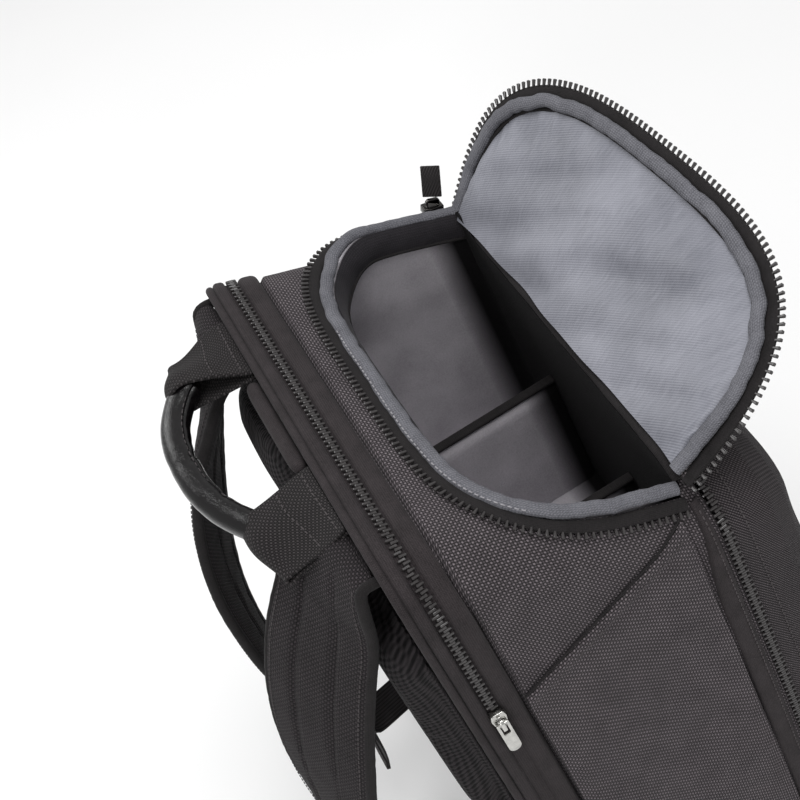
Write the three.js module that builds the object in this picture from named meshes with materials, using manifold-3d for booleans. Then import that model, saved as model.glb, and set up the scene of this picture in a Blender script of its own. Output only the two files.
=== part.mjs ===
// Camera backpack, standing upright on its base with its top hatch open.
// Millimetres. X runs across the back, +Y points to the wearer, +Z is up.
// The origin is on the floor, under the body.

import * as THREE from "three";
import { mergeVertices } from "three/addons/utils/BufferGeometryUtils.js";
import Module from "manifold-3d";

// Body
const HEIGHT = 470;
const WIDTH = 304;
const FRONT_WIDTH = 296;
const BODY_DEPTH = 162;
const BACK_Y = 90;
const TOP_SLOPE = 21.73;
const TOP_RADIUS = 42;
const BASE_RADIUS = 26;
const SIDE_SWELL = 4;
const SHELL_WALL = 8;
const FIT_GAP = 0.3;
const LAYER_LIFT = 0.7;
const CUT_PAST = 1;

// Base panel under the body
const BASE_THICKNESS = 3;
const BASE_PANEL_INSET = 32;
const BASE_PANEL_MARGIN = 6;

// Laptop zip band round the back of the body, and its zip
const BAND_WIDTH = 27;
const BAND_WALL = 4;
const BAND_CHAIN_SHARE = 0.42;
const ZIP_END_Z = 342;
const CHAIN_WIDTH = 6.5;
const CHAIN_HEIGHT = 1.8;

// Front pocket
const POCKET_DEPTH = 46;
const POCKET_ROUND = 30;
const POCKET_WALL = 3;
const POCKET_LEAN = 6;
const FRONT_FLAP_WIDTH = 13;
const FRONT_FLAP_THICKNESS = 2.2;
const FRONT_SLIDER_Z = 118;

// Hatch opening in the sloping top, a superellipse cut off at the hinge
const HATCH_HALF = 136;
const HATCH_LENGTH = 103;
const HINGE_MARGIN = 12;
const HATCH_POWER = 4;
const HATCH_END_GAP = 4;
const RIM_WIDTH = 6;
const RIM_HEIGHT = 2.4;
const RIM_RISE = 15;
const BINDING_WIDTH = 5;
const BINDING_DEPTH = 9;
const BINDING_LIFT = 1;

// Hatch lid, open and leaning over the front
const LID_HALF = 137;
const LID_LENGTH = 115;
const LID_POWER = 3.15;
const LID_ANGLE = 120;
const LID_TWIST = 13.5;
const LID_CORNER_DROP = 6;
const LID_THICKNESS = 7;
const LID_EDGE_THICKNESS = 3;
const LINING_THICKNESS = 1.5;
const LID_START = 4;
const LID_START_THICKNESS = 2;
const LID_LEAST_REACH = 8;
const LID_ZIP_WIDTH = 5;
const LID_BINDING_WIDTH = 6;
const LID_BINDING_DEPTH = 4;
const LINING_MARGIN = 2;
const HINGE_FOLD_WIDTH = 7;
const HINGE_FOLD_HEIGHT = 5;

// Camera bay under the hatch
const BAY_WALL = 5;
const BAY_FLOOR_Z = 236;
const DIVIDER_X = 50;
const DIVIDER_THICKNESS = 8;
const DIVIDER_HEIGHT = 92;

// Back panel and its pads
const BOARD_THICKNESS = 3;
const BOARD_INSET = 1.5;
const PAD_THICKNESS = 18;
const PAD_ROUND = 16;
const PAD_TOP_Z = 438;
const PAD_SHOULDER_X = 50;
const PAD_SHOULDER_FALL = 38;
const PAD_SPLIT_Z = 214;
const PAD_BASE_Z = 22;
const PAD_HALF = 138;
const LUMBAR_HALF = 104;
const PAD_CHANNEL = 16;
const ROLL_RADIUS = 5;
const ROLL_HALF = 40;

// Haul handle
const GRIP_RADIUS = 8;
const GRIP_HALF = 56;
const GRIP_REACH = 61;
const GRIP_BOW = 23;
const GRIP_BOW_POWER = 2.4;
const GRIP_END_RISE = 10.5;
const GRIP_SAG = 5.5;
const GRIP_DROP = 2;
const TAB_INNER_X = 43;
const TAB_WIDTH = 53;
const NEAR_TAB_END_WIDTH = 40;
const FAR_TAB_END_WIDTH = 28;
const TAB_REACH = 38;
const TAB_THICKNESS = 3.2;
const NEAR_TAB_SAG = 22;
const FAR_TAB_SAG = -6;
const TAB_LEAN_IN = 2;
const TAB_Z = HEIGHT - 3;

// Shoulder straps
const STRAP_X = 94;
const STRAP_WIDTH = 72;
const STRAP_END_WIDTH = 52;
const STRAP_THICKNESS = 13;
const STRAP_ROOT_THICKNESS = 6;
const STRAP_TWIST = 28;
const STRAP_ROOT_DROP = 13;
const STRAP_REACH = 91;
const STRAP_LENGTH = 336;
const WEBBING_WIDTH = 25;
const WEBBING_THICKNESS = 1.8;
const TAIL_LENGTH = 62;
const BUCKLE_WIDTH = 36;
const BUCKLE_LENGTH = 24;
const BUCKLE_THICKNESS = 4;
const BUCKLE_BAR = 4.5;
const WING_WIDTH = 42;
const WING_HEIGHT = 64;
const WING_THICKNESS = 4;
const WING_Z = 26;
const WING_MARGIN = 4;
const KNEE_BACK = 4;
const SLOT_PLAY = 1;

// Side panels, sewn on below a slanting seam
const SIDE_PANEL_THICKNESS = 2.5;
const SEAM_FRONT_Z = 392;
const SEAM_BACK_Z = 349;
const SIDE_PANEL_BASE_Z = 34;
const SIDE_PANEL_MARGIN = 2;

// Zip sliders and their metal pulls
const SLIDER_WIDTH = 9;
const SLIDER_LENGTH = 13;
const SLIDER_THICKNESS = 4.6;
const BAIL_WIDTH = 2.4;
const BAIL_WALL = 1.4;
const BAIL_HEIGHT = 4.6;
const BAIL_LENGTH = 9;
const PULL_AXIS_RISE = 1.7;
const PULL_BAR_RADIUS = 0.8;
const PULL_THICKNESS = 1.5;
const PULL_WIDTH = 7.4;
const PULL_ARM = 1.7;
const PULL_EYE_LENGTH = 9;
const PULL_LENGTH = 25;
const TAG_WIDTH = 13;
const TAG_LENGTH = 19;
const TAG_THICKNESS = 1.6;

// Steps round arcs and along straight stretches
const ARC_STEPS = 7;
const SIDE_STEPS = 6;
const BASE_STEPS = 4;
const STATION_STEPS = 4;
const PATH_STEPS = 28;
const GRIP_STEPS = 22;
const GRIP_SIDES = 12;
const LID_COLUMNS = 24;
const LID_ROWS = 7;

// Places that follow from the sizes above
const FRONT_Y = BACK_Y - BODY_DEPTH;
const HATCH_HINGE_Y = FRONT_Y + HINGE_MARGIN;
const BAND_FRONT_Y = BACK_Y - BAND_WIDTH;
const CHAIN_Y = BACK_Y - BAND_WIDTH * BAND_CHAIN_SHARE;
const FLOOR_Z = BASE_THICKNESS + FIT_GAP;
const SLOPE = Math.tan(THREE.MathUtils.degToRad(TOP_SLOPE));
const BOARD_Y = BACK_Y + FIT_GAP;
const ROOT_Y = BOARD_Y + BOARD_THICKNESS + FIT_GAP;
const WING_OUTER_X = WIDTH / 2 - BOARD_INSET - WING_MARGIN;

const wasm = await Module();
wasm.setup();

const lerp = THREE.MathUtils.lerp;
const clamp = THREE.MathUtils.clamp;
const rad = THREE.MathUtils.degToRad;
const vec = (x, y, z) => new THREE.Vector3(x, y, z);
const shares = (steps) => Array.from({ length: steps + 1 }, (_, i) => i / steps);

// Surfaces and joins

const FINISH = {
  weave: { color: 0x474244, roughness: 0.9, metalness: 0 },
  rib: { color: 0x4a4546, roughness: 0.9, metalness: 0 },
  tape: { color: 0x433e3b, roughness: 0.85, metalness: 0 },
  mesh: { color: 0x201d1e, roughness: 0.95, metalness: 0 },
  webbing: { color: 0x2f2d2d, roughness: 0.85, metalness: 0 },
  leather: { color: 0x161314, roughness: 0.35, metalness: 0 },
  lining: { color: 0x84868f, roughness: 0.7, metalness: 0 },
  brushed: { color: 0x74706f, roughness: 0.95, metalness: 0 },
  plastic: { color: 0x1c1b1b, roughness: 0.5, metalness: 0 },
  metal: { color: 0xa8a8a6, roughness: 0.3, metalness: 1 },
};

const bag = new THREE.Group();

function addPiece(name, geometry, finish) {
  const material = new THREE.MeshStandardMaterial(FINISH[finish]);
  const mesh = new THREE.Mesh(geometry, material);
  mesh.name = name;
  bag.add(mesh);
  return mesh;
}

function signedVolume(points, faces) {
  let total = 0;
  for (const [a, b, c] of faces) total += points[a].dot(points[b].clone().cross(points[c]));
  return total / 6;
}

function meshFrom(points, faces) {
  const outward = signedVolume(points, faces) > 0;
  const index = faces.flatMap(([a, b, c]) => (outward ? [a, b, c] : [a, c, b]));
  const geometry = new THREE.BufferGeometry().setFromPoints(points);
  geometry.setIndex(index);
  return geometry;
}

// Closed solid through rings of as many points each, with a fan over both ends
function loft(rings) {
  const count = rings[0].length;
  const points = rings.flat();
  const faces = [];
  for (let i = 0; i + 1 < rings.length; i++) {
    for (let j = 0; j < count; j++) {
      const a = i * count + j;
      const b = i * count + ((j + 1) % count);
      faces.push([a, b, b + count], [a, b + count, a + count]);
    }
  }
  for (const [ring, first, turn] of [
    [rings[0], 0, true],
    [rings[rings.length - 1], (rings.length - 1) * count, false],
  ]) {
    const centre = ring.reduce((sum, p) => sum.add(p), vec(0, 0, 0)).divideScalar(count);
    const middle = points.push(centre) - 1;
    for (let j = 0; j < count; j++) {
      const a = first + j;
      const b = first + ((j + 1) % count);
      faces.push(turn ? [middle, b, a] : [middle, a, b]);
    }
  }
  return meshFrom(points, faces);
}

// Closed sheet over a grid of spots, each with a place, a normal and a thickness
function sheet(rows) {
  const across = rows[0].length;
  const outer = rows.flat().map((spot) => spot.place.clone());
  const inner = rows
    .flat()
    .map((spot) => spot.place.clone().addScaledVector(spot.normal, -spot.thickness));
  const points = [...outer, ...inner];
  const half = outer.length;
  const faces = [];
  const quad = (a, b, c, d) => faces.push([a, b, c], [a, c, d]);
  for (let i = 0; i + 1 < rows.length; i++) {
    for (let j = 0; j + 1 < across; j++) {
      const a = i * across + j;
      quad(a, a + 1, a + 1 + across, a + across);
      quad(half + a, half + a + across, half + a + 1 + across, half + a + 1);
    }
  }
  const edge = [];
  for (let j = 0; j < across; j++) edge.push(j);
  for (let i = 1; i < rows.length; i++) edge.push(i * across + across - 1);
  for (let j = across - 2; j >= 0; j--) edge.push((rows.length - 1) * across + j);
  for (let i = rows.length - 2; i > 0; i--) edge.push(i * across);
  edge.forEach((a, k) => {
    const b = edge[(k + 1) % edge.length];
    quad(b, a, half + a, half + b);
  });
  return meshFrom(points, faces);
}

// Solid swept along stations: each has a place, two directions and a section in them
function sweep(stations) {
  return loft(
    stations.map(({ place, across, normal, section }) =>
      section.map(([u, v]) => place.clone().addScaledVector(across, u).addScaledVector(normal, v)),
    ),
  );
}

const box = (low, high, bottom, top) => [
  [low, bottom],
  [high, bottom],
  [high, top],
  [low, top],
];

// Section of a pad or strap: a flat oval with straight middle
function padSection(width, thickness) {
  const half = width / 2;
  const end = Math.min(thickness, half);
  const rows = [
    { out: 1, up: 0 },
    { out: 0.72, up: 0.68 },
    { out: 0.1, up: 1 },
  ];
  const side = rows.map(({ out, up }) => [half - end * (1 - out), (thickness / 2) * up]);
  const top = [...side, ...side.slice().reverse().map(([u, v]) => [-u, v])];
  const bottom = top.slice(1, -1).reverse().map(([u, v]) => [u, -v]);
  return [...top, ...bottom];
}

function solidOf(geometry) {
  const plain = geometry.clone();
  plain.deleteAttribute("normal");
  plain.deleteAttribute("uv");
  const merged = mergeVertices(plain, 1e-3);
  return new wasm.Manifold(
    new wasm.Mesh({
      numProp: 3,
      vertProperties: new Float32Array(merged.attributes.position.array),
      triVerts: new Uint32Array(merged.index.array),
    }),
  );
}

function geometryOf(solid) {
  const { vertProperties, triVerts } = solid.getMesh();
  const geometry = new THREE.BufferGeometry();
  geometry.setAttribute("position", new THREE.BufferAttribute(vertProperties, 3));
  geometry.setIndex(new THREE.BufferAttribute(triVerts, 1));
  return geometry;
}

// The body's outline at one depth, and places on its skin

const topAt = (y) => HEIGHT - (BACK_Y - y) * SLOPE;
const halfAt = (y) => lerp(WIDTH, FRONT_WIDTH, (BACK_Y - y) / BODY_DEPTH) / 2;
const swellAt = (y, z) => SIDE_SWELL * Math.sin(Math.PI * clamp(z / (topAt(y) - TOP_RADIUS), 0, 1));

function arc(cx, cz, radius, from, to, steps) {
  return shares(steps).map((t) => {
    const angle = rad(lerp(from, to, t));
    const nx = Math.cos(angle);
    const nz = Math.sin(angle);
    return { x: cx + radius * nx, z: cz + radius * nz, nx, nz };
  });
}

// Up the near side from a height, over the top and down the far side
function arch(y, low, inset = 0) {
  const half = halfAt(y) - inset;
  const top = topAt(y) - inset;
  const radius = TOP_RADIUS - inset;
  const side = shares(SIDE_STEPS)
    .slice(0, -1)
    .map((t) => lerp(low, top - radius, t));
  const spots = [
    ...side.map((z) => ({ x: -half, z, nx: -1, nz: 0 })),
    ...arc(-half + radius, top - radius, radius, 180, 90, ARC_STEPS),
    ...arc(half - radius, top - radius, radius, 90, 0, ARC_STEPS),
    ...side.reverse().map((z) => ({ x: half, z, nx: 1, nz: 0 })),
  ];
  return spots.map((spot) => ({ ...spot, x: spot.x + spot.nx * swellAt(y, spot.z) }));
}

function outline(y, inset = 0, depth = y) {
  const half = halfAt(y) - inset;
  const radius = BASE_RADIUS - inset / 2;
  const low = FLOOR_Z + inset;
  const base = (side, from, to) =>
    arc(side * (half - radius), low + radius, radius, from, to, BASE_STEPS);
  const spots = [
    ...base(1, 0, -90).slice(1),
    ...base(-1, -90, -180).slice(0, -1),
    ...arch(y, low + radius, inset),
  ];
  return spots.map(({ x, z }) => vec(x, depth, z));
}

// How far the rounded corner lies below the flat top
function cornerDrop(x, y) {
  const past = clamp(Math.abs(x) - (halfAt(y) - TOP_RADIUS), 0, TOP_RADIUS - 1);
  return TOP_RADIUS - Math.sqrt(TOP_RADIUS ** 2 - past ** 2);
}

const skinTop = (x, y) => topAt(y) - cornerDrop(x, y);
const topNormal = vec(0, -SLOPE, 1).normalize();

// A place that stands out from the side by a distance
function sideSpot(side, y, z, out = 0) {
  const up = clamp(z - (topAt(y) - TOP_RADIUS), 0, TOP_RADIUS - 1);
  const level = Math.sqrt(TOP_RADIUS ** 2 - up ** 2);
  const normal = vec((side * level) / TOP_RADIUS, 0, up / TOP_RADIUS);
  return vec(side * (halfAt(y) - TOP_RADIUS + level + swellAt(y, z)), y, z).addScaledVector(normal, out);
}

// Stations of a strip that lies on the arch at one depth
function archStations(y, low, section) {
  const back = vec(0, 1, SLOPE).normalize();
  return arch(y, low).map(({ x, z, nx, nz }) => {
    const normal = vec(nx, -Math.max(nz, 0) * SLOPE, nz).normalize();
    const across = vec(0, 1, 0).lerp(back, Math.max(nz, 0)).normalize();
    return { place: vec(x, y, z), across, normal, section };
  });
}

// Shares drawn together at both ends, or at the far end alone
const easeEnds = (t) => (t < 0.5 ? 2 * t * t : 1 - 2 * (1 - t) ** 2);
const easeTop = (t) => 1 - (1 - t) ** 2;

// The hatch's outline, as plan places from the near hinge end round to the far one
function hatchPath(grow, endGap = 0) {
  return shares(PATH_STEPS).map((t) => {
    const angle = Math.PI * (1 - easeEnds(t));
    const bend = 2 / HATCH_POWER;
    const across = Math.sign(Math.cos(angle)) * Math.abs(Math.cos(angle)) ** bend;
    const along = (HATCH_LENGTH + grow) * Math.abs(Math.sin(angle)) ** bend;
    return { x: (HATCH_HALF + grow) * across, y: HATCH_HINGE_Y + Math.max(along, endGap) };
  });
}

// The far edge of the open rim stands up from the body
function rimRise(x, y) {
  const sideways = clamp((x - TOP_RADIUS * 2.4) / (TOP_RADIUS * 0.7), 0, 1);
  const forwards = clamp((HATCH_HINGE_Y + HATCH_LENGTH - y) / (HATCH_LENGTH * 0.45), 0, 1);
  return RIM_RISE * sideways * forwards;
}

// Solid draped along a path on the top. A section row holds the distance outwards from the path,
// the height, and whether that height is measured from the skin just there or under the path.
function drape(spots, sectionAt) {
  return loft(
    spots.map(({ x, y }, i) => {
      const before = spots[Math.max(i - 1, 0)];
      const after = spots[Math.min(i + 1, spots.length - 1)];
      const ahead = vec(after.x - before.x, after.y - before.y, 0).normalize();
      return sectionAt(x, y).map(({ out, up, onSkin }) => {
        const px = x - ahead.y * out;
        const py = y + ahead.x * out;
        return vec(px, py, up + (onSkin ? skinTop(px, py) : skinTop(x, y)));
      });
    }),
  );
}

function hatchHole() {
  const below = TOP_RADIUS * 0.75;
  const ringAt = (offset) => hatchPath(0).map(({ x, y }) => vec(x, y, topAt(y) + offset));
  return solidOf(loft([ringAt(-below), ringAt(HEIGHT / 5)]));
}

// Body: shell, base and the band that the laptop zip runs in

function bodyBlock(front, back, inset) {
  return loft(shares(STATION_STEPS).map((t) => outline(lerp(front, back, t), inset)));
}

function mainShell() {
  const outer = solidOf(bodyBlock(FRONT_Y + FIT_GAP, BAND_FRONT_Y - FIT_GAP, 0));
  const inner = solidOf(
    bodyBlock(FRONT_Y + FIT_GAP + SHELL_WALL, BAND_FRONT_Y - FIT_GAP - SHELL_WALL, SHELL_WALL),
  );
  return geometryOf(outer.subtract(inner).subtract(hatchHole()));
}

function zipBand() {
  const outer = solidOf(bodyBlock(BAND_FRONT_Y, BACK_Y, 0));
  const inner = solidOf(bodyBlock(BAND_FRONT_Y - CUT_PAST, BACK_Y + CUT_PAST, BAND_WALL));
  return geometryOf(outer.subtract(inner));
}

function basePanel() {
  const half = FRONT_WIDTH / 2 - BASE_PANEL_INSET;
  const depth = BODY_DEPTH - 2 * BASE_PANEL_MARGIN;
  const plate = new THREE.BoxGeometry(2 * half, depth, BASE_THICKNESS);
  return plate.translate(0, (BACK_Y + FRONT_Y) / 2, BASE_THICKNESS / 2);
}

function chainStrip(y, low) {
  const half = CHAIN_WIDTH / 2;
  return sweep(archStations(y, low, box(-half, half, LAYER_LIFT, LAYER_LIFT + CHAIN_HEIGHT)));
}

// Front pocket: out is the share of its depth, in the share of its rounding
const POCKET_ROWS = [
  { out: 0, in: 0 },
  { out: 0.3, in: 0.02 },
  { out: 0.6, in: 0.12 },
  { out: 0.82, in: 0.36 },
  { out: 0.95, in: 0.75 },
  { out: 1, in: 1.25 },
  { out: 1.04, in: 2.4 },
];

function pocketBlock(wall) {
  const lean = (z) => POCKET_LEAN * Math.sin(Math.PI * clamp(z / topAt(FRONT_Y), 0, 1) ** 0.8);
  const ringOf = ({ out, in: inwards }) => {
    const y = FRONT_Y - FIT_GAP - POCKET_DEPTH * out;
    return outline(y, inwards * POCKET_ROUND + wall).map((p) => p.setY(y - lean(p.z) * out + wall));
  };
  return solidOf(loft(POCKET_ROWS.map(ringOf)));
}

function frontPocket() {
  return geometryOf(pocketBlock(0).subtract(pocketBlock(POCKET_WALL)));
}

function frontFlap(side) {
  const front = FRONT_Y + SLIDER_WIDTH / 2 + 2 * FIT_GAP;
  const back = front + FRONT_FLAP_WIDTH;
  const low = BASE_RADIUS + FLOOR_Z;
  const high = topAt(front) - TOP_RADIUS * 0.55;
  const stand = LAYER_LIFT + FRONT_FLAP_THICKNESS;
  return loft(
    shares(SIDE_STEPS * 3).map((t) => {
      const z = lerp(low, high, easeTop(t));
      return [
        sideSpot(side, front, z, LAYER_LIFT),
        sideSpot(side, back, z, LAYER_LIFT),
        sideSpot(side, back, z, stand),
        sideSpot(side, front, z, stand),
      ];
    }),
  );
}

function sidePanel(side) {
  const front = FRONT_Y + SLIDER_WIDTH / 2 + FRONT_FLAP_WIDTH + SIDE_PANEL_MARGIN;
  const back = BAND_FRONT_Y - SIDE_PANEL_MARGIN;
  const rows = shares(6).map((v) =>
    shares(SIDE_STEPS * 2).map((t) => {
      const y = lerp(front, back, v);
      const z = lerp(SIDE_PANEL_BASE_Z, lerp(SEAM_FRONT_Z, SEAM_BACK_Z, v), easeTop(t));
      const low = sideSpot(side, y, z, LAYER_LIFT);
      const place = sideSpot(side, y, z, LAYER_LIFT + SIDE_PANEL_THICKNESS);
      return { place, normal: place.clone().sub(low).normalize(), thickness: SIDE_PANEL_THICKNESS };
    }),
  );
  return sheet(rows);
}

// Camera bay

function cameraBay() {
  const wall = SHELL_WALL + FIT_GAP;
  const front = FRONT_Y + FIT_GAP + wall;
  const back = BAND_FRONT_Y - FIT_GAP - wall;
  const outer = solidOf(bodyBlock(front, back, wall));
  const inner = solidOf(bodyBlock(front + BAY_WALL, back - BAY_WALL, wall + BAY_WALL));
  const cut = (height) => {
    const block = new THREE.BoxGeometry(2 * WIDTH, 4 * BODY_DEPTH, 2 * HEIGHT);
    return solidOf(block.translate(0, 0, height - HEIGHT));
  };
  const hollow = inner.subtract(cut(BAY_FLOOR_Z + BAY_WALL));
  return geometryOf(outer.subtract(cut(BAY_FLOOR_Z)).subtract(hollow).subtract(hatchHole()));
}

function bayDivider(side) {
  const wall = SHELL_WALL + FIT_GAP + BAY_WALL + FIT_GAP;
  const front = FRONT_Y + FIT_GAP + wall;
  const back = BAND_FRONT_Y - FIT_GAP - wall;
  const plate = new THREE.BoxGeometry(DIVIDER_THICKNESS, back - front, DIVIDER_HEIGHT);
  const low = BAY_FLOOR_Z + BAY_WALL + FIT_GAP;
  return plate.translate(side * DIVIDER_X, (front + back) / 2, low + DIVIDER_HEIGHT / 2);
}

// A strip's section: its underside lies on the skin, its top is level
const stripSection = (half, low, high) => [
  { out: -half, up: low, onSkin: true },
  { out: half, up: low, onSkin: true },
  { out: half, up: high, onSkin: false },
  { out: -half, up: high, onSkin: false },
];

function hatchRim() {
  const half = RIM_WIDTH / 2;
  const path = hatchPath(half + FIT_GAP, HATCH_END_GAP);
  return drape(path, (x, y) => stripSection(half, LAYER_LIFT, RIM_HEIGHT + half + rimRise(x, y)));
}

function hatchBinding() {
  const half = BINDING_WIDTH / 2;
  const path = hatchPath(-half - 2 * FIT_GAP, HATCH_END_GAP);
  return drape(path, (x, y) => stripSection(half, -BINDING_DEPTH, BINDING_LIFT + rimRise(x, y)));
}

function hingeFold() {
  const half = HINGE_FOLD_WIDTH / 2;
  const y = HATCH_HINGE_Y - FIT_GAP - half;
  const reach = HATCH_HALF - RIM_WIDTH;
  const section = [
    { out: -half, up: LAYER_LIFT, onSkin: true },
    { out: half, up: LAYER_LIFT, onSkin: true },
    { out: half, up: HINGE_FOLD_HEIGHT * 0.6, onSkin: true },
    { out: 0, up: HINGE_FOLD_HEIGHT, onSkin: true },
    { out: -half, up: HINGE_FOLD_HEIGHT * 0.6, onSkin: true },
  ];
  const path = shares(PATH_STEPS).map((t) => ({ x: lerp(-reach, reach, t), y }));
  return drape(path, () => section);
}

// Lid: x and the distance along it from the hinge give a place on its inner face
function lidPlace(x, along, out = 0) {
  const slope = rad(TOP_SLOPE);
  const angle = rad(LID_ANGLE - (LID_TWIST * x) / LID_HALF);
  const edge = Math.abs(x) / LID_HALF;
  const lift = out - LID_CORNER_DROP * edge ** 4;
  const level = Math.cos(angle) * along - Math.sin(angle) * lift;
  const rise = Math.sin(angle) * along + Math.cos(angle) * lift;
  const y = HATCH_HINGE_Y - HINGE_FOLD_WIDTH / 2 + level * Math.cos(slope) - rise * Math.sin(slope);
  const z = topAt(HATCH_HINGE_Y) + level * Math.sin(slope) + rise * Math.cos(slope);
  return vec(x, y, z - cornerDrop(x, HATCH_HINGE_Y) * 0.5 * (1 - along / LID_LENGTH));
}

const lidReach = (share) => LID_LENGTH * (1 - Math.abs(share) ** LID_POWER) ** (1 / LID_POWER);

function lidSheet(inner, outer, margin) {
  const columns = shares(LID_COLUMNS).map((t) => -Math.cos(Math.PI * t) * 0.985);
  const rows = columns.map((share) => {
    const x = share * (LID_HALF - margin);
    const reach = Math.max(lidReach(share) - margin, LID_LEAST_REACH);
    return shares(LID_ROWS).map((t) => {
      const along = lerp(LID_START, reach, t);
      const full = 1 - Math.max(Math.abs(share), t) ** 6;
      const start = Math.min(1, t * 6);
      const edge = lerp(LID_START_THICKNESS, LID_EDGE_THICKNESS, start);
      const top = lidPlace(x, along, inner + lerp(Math.min(edge, outer), outer, full * start));
      const low = lidPlace(x, along, inner);
      const normal = top.clone().sub(low);
      return { place: top, normal: normal.clone().normalize(), thickness: normal.length() };
    });
  });
  return sheet(rows);
}

function lidEdge(margin, low, high, inner, outer) {
  const stations = shares(PATH_STEPS).map((t) => {
    const angle = Math.PI * (1 - t);
    const bend = 2 / LID_POWER;
    const share = Math.sign(Math.cos(angle)) * Math.abs(Math.cos(angle)) ** bend;
    return { x: share * LID_HALF, along: LID_LENGTH * Math.sin(angle) ** bend };
  });
  const shift = ({ x, along }, grow) => {
    const scale = 1 + (grow - margin) / LID_HALF;
    return { x: x * scale, along: Math.max(along + (grow - margin) * Math.sign(along), LID_START) };
  };
  return loft(
    stations.map((station) => {
      const a = shift(station, low);
      const b = shift(station, high);
      return [
        lidPlace(a.x, a.along, inner),
        lidPlace(b.x, b.along, inner),
        lidPlace(b.x, b.along, outer),
        lidPlace(a.x, a.along, outer),
      ];
    }),
  );
}

// Back panel

function backBoard() {
  const ringAt = (y) => outline(BACK_Y, BOARD_INSET, y);
  return loft([ringAt(BOARD_Y), ringAt(BOARD_Y + BOARD_THICKNESS)]);
}

// Pad rows: out is the share of its thickness, in the share of its rounding
const PAD_ROWS = [
  { out: 0, in: 0 },
  { out: 0.35, in: 0.06 },
  { out: 0.65, in: 0.3 },
  { out: 0.88, in: 0.7 },
  { out: 1, in: 1.5 },
];

// The upper pads fall away towards the shoulders
function padFall(x, z) {
  const sideways = clamp((Math.abs(x) - PAD_SHOULDER_X) / (PAD_HALF - PAD_SHOULDER_X), 0, 1);
  const upwards = clamp((z - PAD_SPLIT_Z) / (PAD_TOP_Z - PAD_SPLIT_Z), 0, 1);
  return PAD_SHOULDER_FALL * sideways * upwards;
}

function backPad(left, right, bottom, top) {
  const ringOf = ({ out, in: inwards }) => {
    const inset = inwards * PAD_ROUND;
    const radius = PAD_ROUND * 1.2 - inset * 0.5;
    const y = ROOT_Y + out * PAD_THICKNESS;
    const turn = (cx, cz, from) =>
      arc(cx, cz, radius, from, from + 90, BASE_STEPS).map(({ x, z }) => vec(x, y, z - padFall(x, z)));
    return [
      ...turn(right - inset - radius, top - inset - radius, 0),
      ...turn(left + inset + radius, top - inset - radius, 90),
      ...turn(left + inset + radius, bottom + inset + radius, 180),
      ...turn(right - inset - radius, bottom + inset + radius, 270),
    ];
  };
  return loft(PAD_ROWS.map(ringOf));
}

function topRoll() {
  const ring = new THREE.CylinderGeometry(ROLL_RADIUS, ROLL_RADIUS, 2 * ROLL_HALF, 14);
  return ring.rotateZ(Math.PI / 2).translate(0, ROOT_Y + ROLL_RADIUS, TAB_Z - ROLL_RADIUS);
}

// Handle

function gripSolid(grow) {
  const section = shares(GRIP_SIDES)
    .slice(0, -1)
    .map((t) => {
      const angle = 2 * Math.PI * t;
      return [(GRIP_RADIUS + grow) * Math.cos(angle), (GRIP_RADIUS + grow) * Math.sin(angle)];
    });
  const spots = shares(GRIP_STEPS).map((t) => {
    const share = lerp(-1, 1, t);
    const y = BACK_Y + GRIP_REACH - GRIP_BOW * Math.abs(share) ** GRIP_BOW_POWER;
    const z = HEIGHT - GRIP_DROP + share * GRIP_END_RISE - GRIP_SAG * share ** 2;
    return vec(share * (GRIP_HALF + grow), y, z);
  });
  return sweep(
    spots.map((place, i) => {
      const before = spots[Math.max(i - 1, 0)];
      const after = spots[Math.min(i + 1, spots.length - 1)];
      const ahead = after.clone().sub(before).normalize();
      const across = vec(0, 0, 1).cross(ahead).normalize();
      return { place, across, normal: ahead.clone().cross(across), section };
    }),
  );
}

function handleTab(side, sag, endWidth) {
  const middle = TAB_INNER_X + TAB_WIDTH / 2;
  const rows = shares(8).map((t) => {
    const bend = t * t;
    const width = lerp(TAB_WIDTH, endWidth, t);
    const z = TAB_Z - TAB_THICKNESS / 2 - (sag * bend) / 2;
    const centre = vec(side * lerp(middle, middle - TAB_LEAN_IN, t), ROOT_Y + TAB_REACH * t, z);
    const across = vec(1, 0, (side * -sag * bend) / endWidth).normalize();
    const ahead = vec(0, TAB_REACH, -sag * t).normalize();
    const normal = across.clone().cross(ahead).normalize();
    const section = box(-width / 2, width / 2, -TAB_THICKNESS / 2, TAB_THICKNESS / 2);
    return { place: centre, across, normal, section };
  });
  const tab = solidOf(sweep(rows));
  return geometryOf(tab.subtract(solidOf(gripSolid(FIT_GAP))));
}

// Shoulder straps: back is the share of their reach behind the body, down the share of their length
const STRAP_ROWS = [
  { back: 0, down: 0, twist: 0, thick: 0 },
  { back: 0.12, down: 0.002, twist: 0.05, thick: 0.2 },
  { back: 0.23, down: 0.04, twist: 0.4, thick: 0.75 },
  { back: 0.36, down: 0.115, twist: 0.8, thick: 1 },
  { back: 0.54, down: 0.2, twist: 1, thick: 1 },
  { back: 0.73, down: 0.315, twist: 1, thick: 1 },
  { back: 0.89, down: 0.455, twist: 0.8, thick: 1 },
  { back: 0.98, down: 0.6, twist: 0.5, thick: 1 },
  { back: 1, down: 0.735, twist: 0.25, thick: 1 },
  { back: 0.93, down: 0.87, twist: 0.1, thick: 0.9 },
  { back: 0.78, down: 1, twist: 0, thick: 0.5 },
];

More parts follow.
